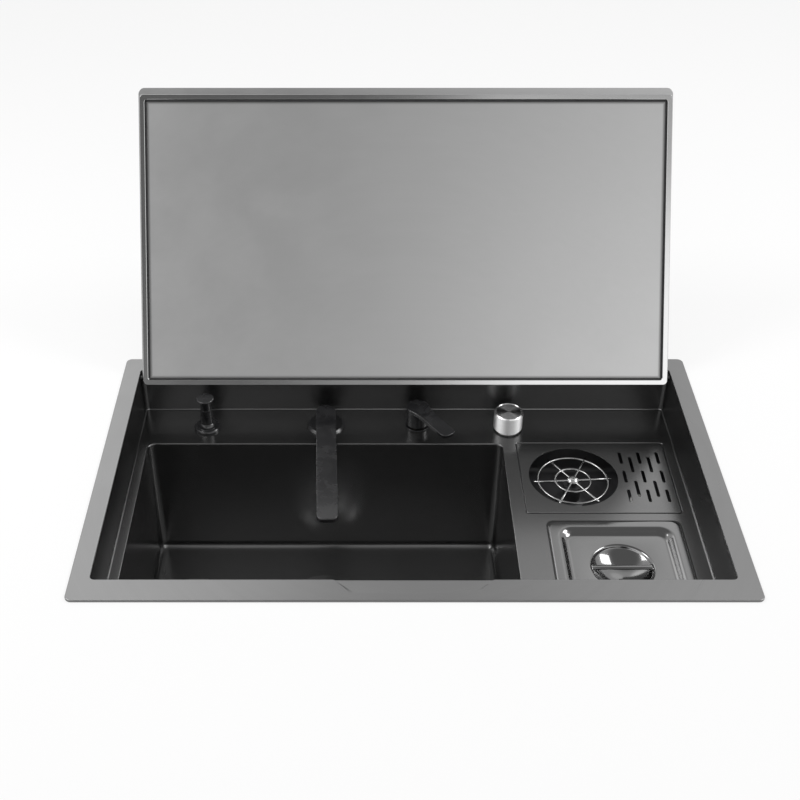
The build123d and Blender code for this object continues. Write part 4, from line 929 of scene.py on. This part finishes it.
@dataclass
class ScrapContainer:
    """The container for scraps, with its pressed cover.

    The cover's height falls from its rolled rim down a rounded slope to its floor, and from there
    over a rolled edge into the round grip hollow.
    """

    edge: float = 0.3 * MM
    centre: tuple[float, float] = (267.0 * MM, -108.0 * MM)
    half: tuple[float, float] = (86.0 * MM, 79.0 * MM)
    corner: float = 10.0 * MM
    top: float = -66.8 * MM
    sheet: float = 1.0 * MM
    rim_roll: float = 3.0 * MM
    rim_drop: float = 0.8 * MM
    slope: tuple[float, float] = (9.5 * MM, 25.0 * MM)
    slope_corners: tuple[float, float] = (20.0 * MM, 9.0 * MM)
    sink: float = 5.8 * MM
    mouth: float = 42.0 * MM
    mouth_roll: float = 4.4 * MM
    mouth_tilt: float = radians(62.0)
    foot_roll: float = 4.0 * MM
    foot_tilt: float = radians(33.0)
    hollow_radius: float = 68.0 * MM
    pole: float = 0.05 * MM
    around: int = 288
    rim_steps: int = 6
    slope_steps: int = 20
    mouth_steps: int = 8
    foot_steps: int = 5
    hollow_steps: int = 16
    bar: tuple[float, float, float] = (38.8 * MM, 3.3 * MM, 2.0 * MM)
    bar_level: float = -73.9 * MM
    bar_flare: float = 2.2 * MM
    bar_flare_power: int = 8
    bar_fullness: float = 0.8
    bar_steps: int = 20
    bar_sides: int = 24

    def build(self) -> None:
        """Make the cover and its bar, and dress them and the pan."""
        # The pan's dark steel is painted shade in the gap round the cover.
        dress(["container_pan"], PAN_STEEL_PAINTED_SHADE, self.edge)
        self._cover()
        self._bar()

    def _frame_ring(self, inset: float, corner: float, level: float) -> list[Point]:
        """Lay points at even angles on a rounded rectangle.

        Args:
            inset: How far it lies inside the cover's outline.
            corner: The radius of its corners.
            level: Its height.

        Returns:
            The points, anticlockwise from +X.
        """
        wide, deep = self.half[0] - inset, self.half[1] - inset
        middle_x, middle_y = wide - corner, deep - corner
        ring = []
        for angle in turns(self.around):
            out_x, out_y = abs(cos(angle)), abs(sin(angle))
            far = min(wide / max(out_x, 1e-9), deep / max(out_y, 1e-9))
            if far * out_x > middle_x and far * out_y > middle_y:
                along = out_x * middle_x + out_y * middle_y
                far = along + (along**2 - middle_x**2 - middle_y**2 + corner**2) ** 0.5
            ring.append((self.centre[0] + far * cos(angle), self.centre[1] + far * sin(angle), level))
        return ring

    def _round_ring(self, radius: float, level: float) -> list[Point]:
        """Lay points at even angles on a circle round the cover's middle."""
        x, y = self.centre
        return [(x + radius * cos(angle), y + radius * sin(angle), level) for angle in turns(self.around)]

    def _rim_rings(self) -> list[list[Point]]:
        """List the rings of the rolled rim, from the cover's edge inwards.

        Returns:
            The rings.
        """
        rings = []
        for step in range(self.rim_steps + 1):
            turn = pi / 2 * (1 - step / self.rim_steps)
            level = self.top - self.rim_drop * (1 - cos(turn))
            rings.append(self._frame_ring(self.rim_roll * (1 - sin(turn)), self.corner, level))
        return rings

    def _slope_rings(self) -> list[list[Point]]:
        """List the rings of the slope, which starts and ends level.

        Returns:
            The rings.
        """
        start, end = self.slope
        first, last = self.slope_corners
        rings = []
        for step in range(self.slope_steps + 1):
            share = step / self.slope_steps
            fall = self.sink * share**3 * (10 - 15 * share + 6 * share**2)
            corner = first + (last - first) * share
            rings.append(self._frame_ring(start + (end - start) * share, corner, self.top - fall))
        return rings

    def _hollow_rings(self) -> list[list[Point]]:
        """List the rings of the grip hollow, over its rolled mouth and foot to its round bottom.

        Returns:
            The rings.
        """
        radius, level = self.mouth, self.top - self.sink
        rings = [self._round_ring(radius, level)]
        for step in range(self.mouth_steps):
            tilt, after = (self.mouth_tilt * (step + more) / self.mouth_steps for more in (0, 1))
            radius -= self.mouth_roll * (sin(after) - sin(tilt))
            level -= self.mouth_roll * (cos(tilt) - cos(after))
            rings.append(self._round_ring(radius, level))
        turn = self.foot_tilt - self.mouth_tilt
        for step in range(self.foot_steps):
            tilt, after = (self.mouth_tilt + turn * (step + more) / self.foot_steps for more in (0, 1))
            radius -= self.foot_roll * (sin(tilt) - sin(after))
            level -= self.foot_roll * (cos(after) - cos(tilt))
            rings.append(self._round_ring(radius, level))
        for step in range(1, self.hollow_steps):
            tilt = self.foot_tilt * (1 - step / self.hollow_steps)
            fall = self.hollow_radius * (cos(tilt) - cos(self.foot_tilt))
            rings.append(self._round_ring(radius * sin(tilt) / sin(self.foot_tilt), level - fall))
        return rings

    def _cover(self) -> None:
        """Build the cover as one closed sheet, flat below its rim."""
        rim = self._rim_rings()
        upper = [*rim, *self._slope_rings(), *self._hollow_rings()]
        lower = [
            [(x, y, (self.top if number < len(rim) else z) - self.sheet) for x, y, z in ring]
            for number, ring in enumerate(upper)
        ]
        points, faces = skin_rings([*reversed(lower), *upper])
        for first in (0, len(points) - self.around):
            tip = (*self.centre, points[first][2] - self.pole)
            close_ring(points, faces, first, self.around, tip)
        piece = mesh_piece("pressed_cover", points, faces, "cover", PRESSED_STEEL)
        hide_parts("container_lid")

    def _bar(self) -> None:
        """Build the bar across the hollow, which widens where it is welded to the cover."""
        reach, half_width, half_height = self.bar
        x, y = self.centre

        def full(value: float) -> float:
            """Push a sine or cosine outwards, which fills the corners of a round."""
            return abs(value) ** self.bar_fullness * (1 if value > 0 else -1)

        rings = []
        for step in range(-self.bar_steps, self.bar_steps + 1):
            share = step / self.bar_steps
            wide = half_width + self.bar_flare * abs(share) ** self.bar_flare_power
            rings.append([
                (x + reach * share, y + wide * full(cos(turn)),
                 self.bar_level + half_height * full(sin(turn)))
                for turn in turns(self.bar_sides)
            ])
        points, faces = skin_rings(rings)
        faces.append(list(range(self.bar_sides)))
        faces.append(list(range(len(points) - self.bar_sides, len(points))))
        piece = mesh_piece("cover_bar", points, faces, "cover", PRESSED_STEEL)
        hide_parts("container_handle")


# The studio

FIRST_REFLECTION = 2.5  # a world's ray depth is 2 at a first reflection and more at later ones


@dataclass(frozen=True)
class Softbox:
    """A square lamp.

    Attributes:
        name: The lamp's name.
        place: Where it stands.
        aim: What it points at.
        size: The length of its sides.
        power: Its power in watts.
    """

    name: str
    place: Point
    aim: Point
    size: float
    power: float

    def build(self) -> None:
        """Add the lamp to the scene."""
        data = bpy.data.lights.new(self.name, "AREA")
        data.shape = "SQUARE"
        data.size = self.size
        data.energy = self.power
        lamp = bpy.data.objects.new(self.name, data)
        bpy.context.scene.collection.objects.link(lamp)
        lamp.location = self.place
        lamp.rotation_euler = (Vector(self.aim) - Vector(self.place)).to_track_quat("-Z", "Y").to_euler()


@dataclass(frozen=True)
class Glow:
    """A round patch of the room that metal shows brighter or darker than the rest.

    Attributes:
        toward: The way from the sink to its middle.
        inner: The angle from its middle within which it is even, in degrees.
        outer: The angle at which it ends, in degrees.
        amount: How much it adds to the room's brightness.
    """

    toward: Point
    inner: float
    outer: float
    amount: float

    def strength(self, graph: Graph, way: Socket) -> Socket:
        """Add the nodes of the patch.

        Args:
            graph: The world's graph.
            way: The socket with the way that a ray goes.

        Returns:
            The socket with what the patch adds.
        """
        middle = tuple(Vector(self.toward).normalized())
        near = graph.measure("DOT_PRODUCT", way, middle)
        return graph.ease(near, cos(radians(self.outer)), cos(radians(self.inner)), 0.0, self.amount)


@dataclass
class Studio:
    """The pale worktop round the sink, the light and the camera.

    Attributes:
        half_width: Half the width of the worktop.
        cutout: The width and depth of its hole, which the flange covers.
        worktop_level: Its height, a little below the flange.
        worktop_tone: Its colour.
        worktop_white: How white the camera sees it, and the share that this has.
        lens: The camera's focal length in millimetres.
        camera_place: Where the camera stands.
        camera_tilt: Its tilt from looking straight down, in degrees.
        camera_shift: Its shift sideways.
        sky: The strength of the room at its sides and straight above.
        sky_turn: The heights between which the one turns to the other.
        darkest: The least strength of the room.
        dull: The strength that dull surfaces get.
        boxes: The lamps.
        glows: The patches that a first reflection shows.
        deeper_glow: The patch that all later reflections show.
    """

    half_width: float = 6.0
    cutout: tuple[float, float] = (780.0 * MM, 460.0 * MM)
    worktop_level: float = -0.2 * MM
    worktop_tone: float = 0.86
    worktop_white: tuple[float, float] = (1.06, 0.7)
    lens: float = 56.58
    camera_place: Point = (-0.05517, -1.24875, 1.04147)
    camera_tilt: float = 53.23
    camera_shift: float = 0.0421
    sky: tuple[float, float] = (0.9, 0.31)
    sky_turn: tuple[float, float] = (0.76, 0.92)
    darkest: float = 0.18
    dull: float = 0.55
    boxes: tuple[Softbox, ...] = field(default=(
        Softbox("left_softbox", (-1.2, 0.18, 1.55), (0.0, 0.0, 0.0), 0.7, 12.0),
        Softbox("right_softbox", (1.6, 0.32, 1.62), (0.2, 0.0, 0.0), 0.7, 14.0),
    ))
    deeper_glow: Glow = Glow((0.02, -0.80, 0.60), 4.0, 13.0, -0.9)
    glows: tuple[Glow, ...] = field(default=(
        Glow((-0.16, -0.74, 0.66), 5.0, 12.0, -0.7),
        Glow((-0.04, -0.74, 0.67), 4.0, 9.0, -0.7),
        Glow((-0.22, -0.86, 0.47), 3.0, 11.0, -0.6),
        Glow((-0.03, -0.87, 0.48), 3.0, 8.0, -0.5),
        Glow((0.26, -0.87, 0.40), 6.0, 14.0, 0.95),
        Glow((0.26, -0.72, 0.66), 3.0, 10.0, -0.25),
        Glow((-0.26, 0.77, 0.58), 6.0, 17.0, 0.95),
        Glow((0.30, 0.75, 0.60), 4.0, 12.0, 0.35),
        Glow((-0.75, -0.60, 0.30), 15.0, 35.0, 0.9),
        Glow((0.85, -0.45, 0.25), 12.0, 32.0, 0.9),
    ))

    def build(self) -> None:
        """Set up everything round the sink."""
        self._worktop()
        self._surroundings()
        for box in self.boxes:
            box.build()
        self._camera()
        bpy.context.scene.view_settings.view_transform = "Standard"

    def _worktop(self) -> None:
        """Lay a pale surface with a hole under the flange, clear when seen from below."""
        inner_x, inner_y = self.cutout[0] / 2, self.cutout[1] / 2
        xs = (-self.half_width, -inner_x, inner_x, self.half_width)
        ys = (-self.half_width, -inner_y, inner_y, self.half_width)
        points = [(x, y, self.worktop_level) for y in ys for x in xs]
        hole = 5  # the first point of the middle one of nine fields
        faces = [(n, n + 1, n + 5, n + 4) for n in range(11) if n % 4 < 3 and n != hole]
        mesh = bpy.data.meshes.new("worktop")
        mesh.from_pydata(points, [], faces)
        floor = bpy.data.objects.new("worktop", mesh)
        bpy.context.scene.collection.objects.link(floor)
        made, graph, shader = new_material("pale_worktop")
        graph.fill(shader, {
            "Base Color": (*[self.worktop_tone] * 3, 1.0), "Roughness": 0.7, "Specular IOR Level": 0.2,
        })
        strength, share = self.worktop_white
        white = graph.add("Emission", {"Color": (1.0, 1.0, 1.0, 1.0), "Strength": strength})
        seen = graph.math("MULTIPLY", graph.add("LightPath").outputs["Is Camera Ray"], share)
        lifted = graph.add("MixShader", {0: seen, 1: shader.outputs[0], 2: white.outputs[0]})
        gone = graph.add("BsdfTransparent")
        back = graph.add("NewGeometry").outputs["Backfacing"]
        result = graph.add("MixShader", {0: back, 1: lifted.outputs[0], 2: gone.outputs[0]})
        graph.fill(made.node_tree.nodes["Material Output"], {"Surface": result.outputs[0]})
        mesh.materials.append(made)

    def _surroundings(self) -> None:
        """Light the scene from a white room with patches that metal reflects."""
        world = bpy.data.worlds.new("white_room")
        bpy.context.scene.world = world
        world.use_nodes = True
        graph = Graph(world.node_tree)
        way = graph.add("TexCoord").outputs["Generated"]
        path = graph.add("LightPath").outputs
        room = graph.ease(graph.part(way, "Z"), *self.sky_turn, *self.sky)
        first = graph.math("LESS_THAN", path["Ray Depth"], FIRST_REFLECTION)
        later = graph.math("SUBTRACT", 1.0, first)
        for when, glow in [*((first, glow) for glow in self.glows), (later, self.deeper_glow)]:
            room = graph.math("ADD", room, graph.math("MULTIPLY", when, glow.strength(graph, way)))
        room = graph.math("MAXIMUM", room, self.darkest)
        shiny = graph.math("MAXIMUM", path["Is Glossy Ray"], path["Is Transmission Ray"])
        lit = graph.choose(shiny, self.dull, room)
        strength = graph.choose(path["Is Camera Ray"], lit, 1.0)
        graph.fill(world.node_tree.nodes["Background"], {"Color": (1.0, 1.0, 1.0, 1.0), "Strength": strength})

    def _camera(self) -> None:
        """Stand the camera where the photograph was taken."""
        data = bpy.data.cameras.new("camera")
        data.lens = self.lens
        data.sensor_width = 36.0
        data.shift_x = self.camera_shift
        data.clip_start = 0.05
        data.clip_end = 60.0
        camera = bpy.data.objects.new("camera", data)
        bpy.context.scene.collection.objects.link(camera)
        camera.location = self.camera_place
        camera.rotation_euler = (radians(self.camera_tilt), 0.0, 0.0)
        bpy.context.scene.camera = camera


def main() -> None:
    """Build every sub-assembly in order."""
    logging.basicConfig(level=logging.INFO, format="%(name)s %(message)s")
    for part in (Surround(), Bowl(), FoldingLid(), BladeTap(), LeverMixer(), DrainKnob(), SoapPump(),
                 GlassRinser(), ScrapContainer(), Studio()):
        part.build()
        log.info("built %s", type(part).__name__)


if __name__ == "__main__":
    main()
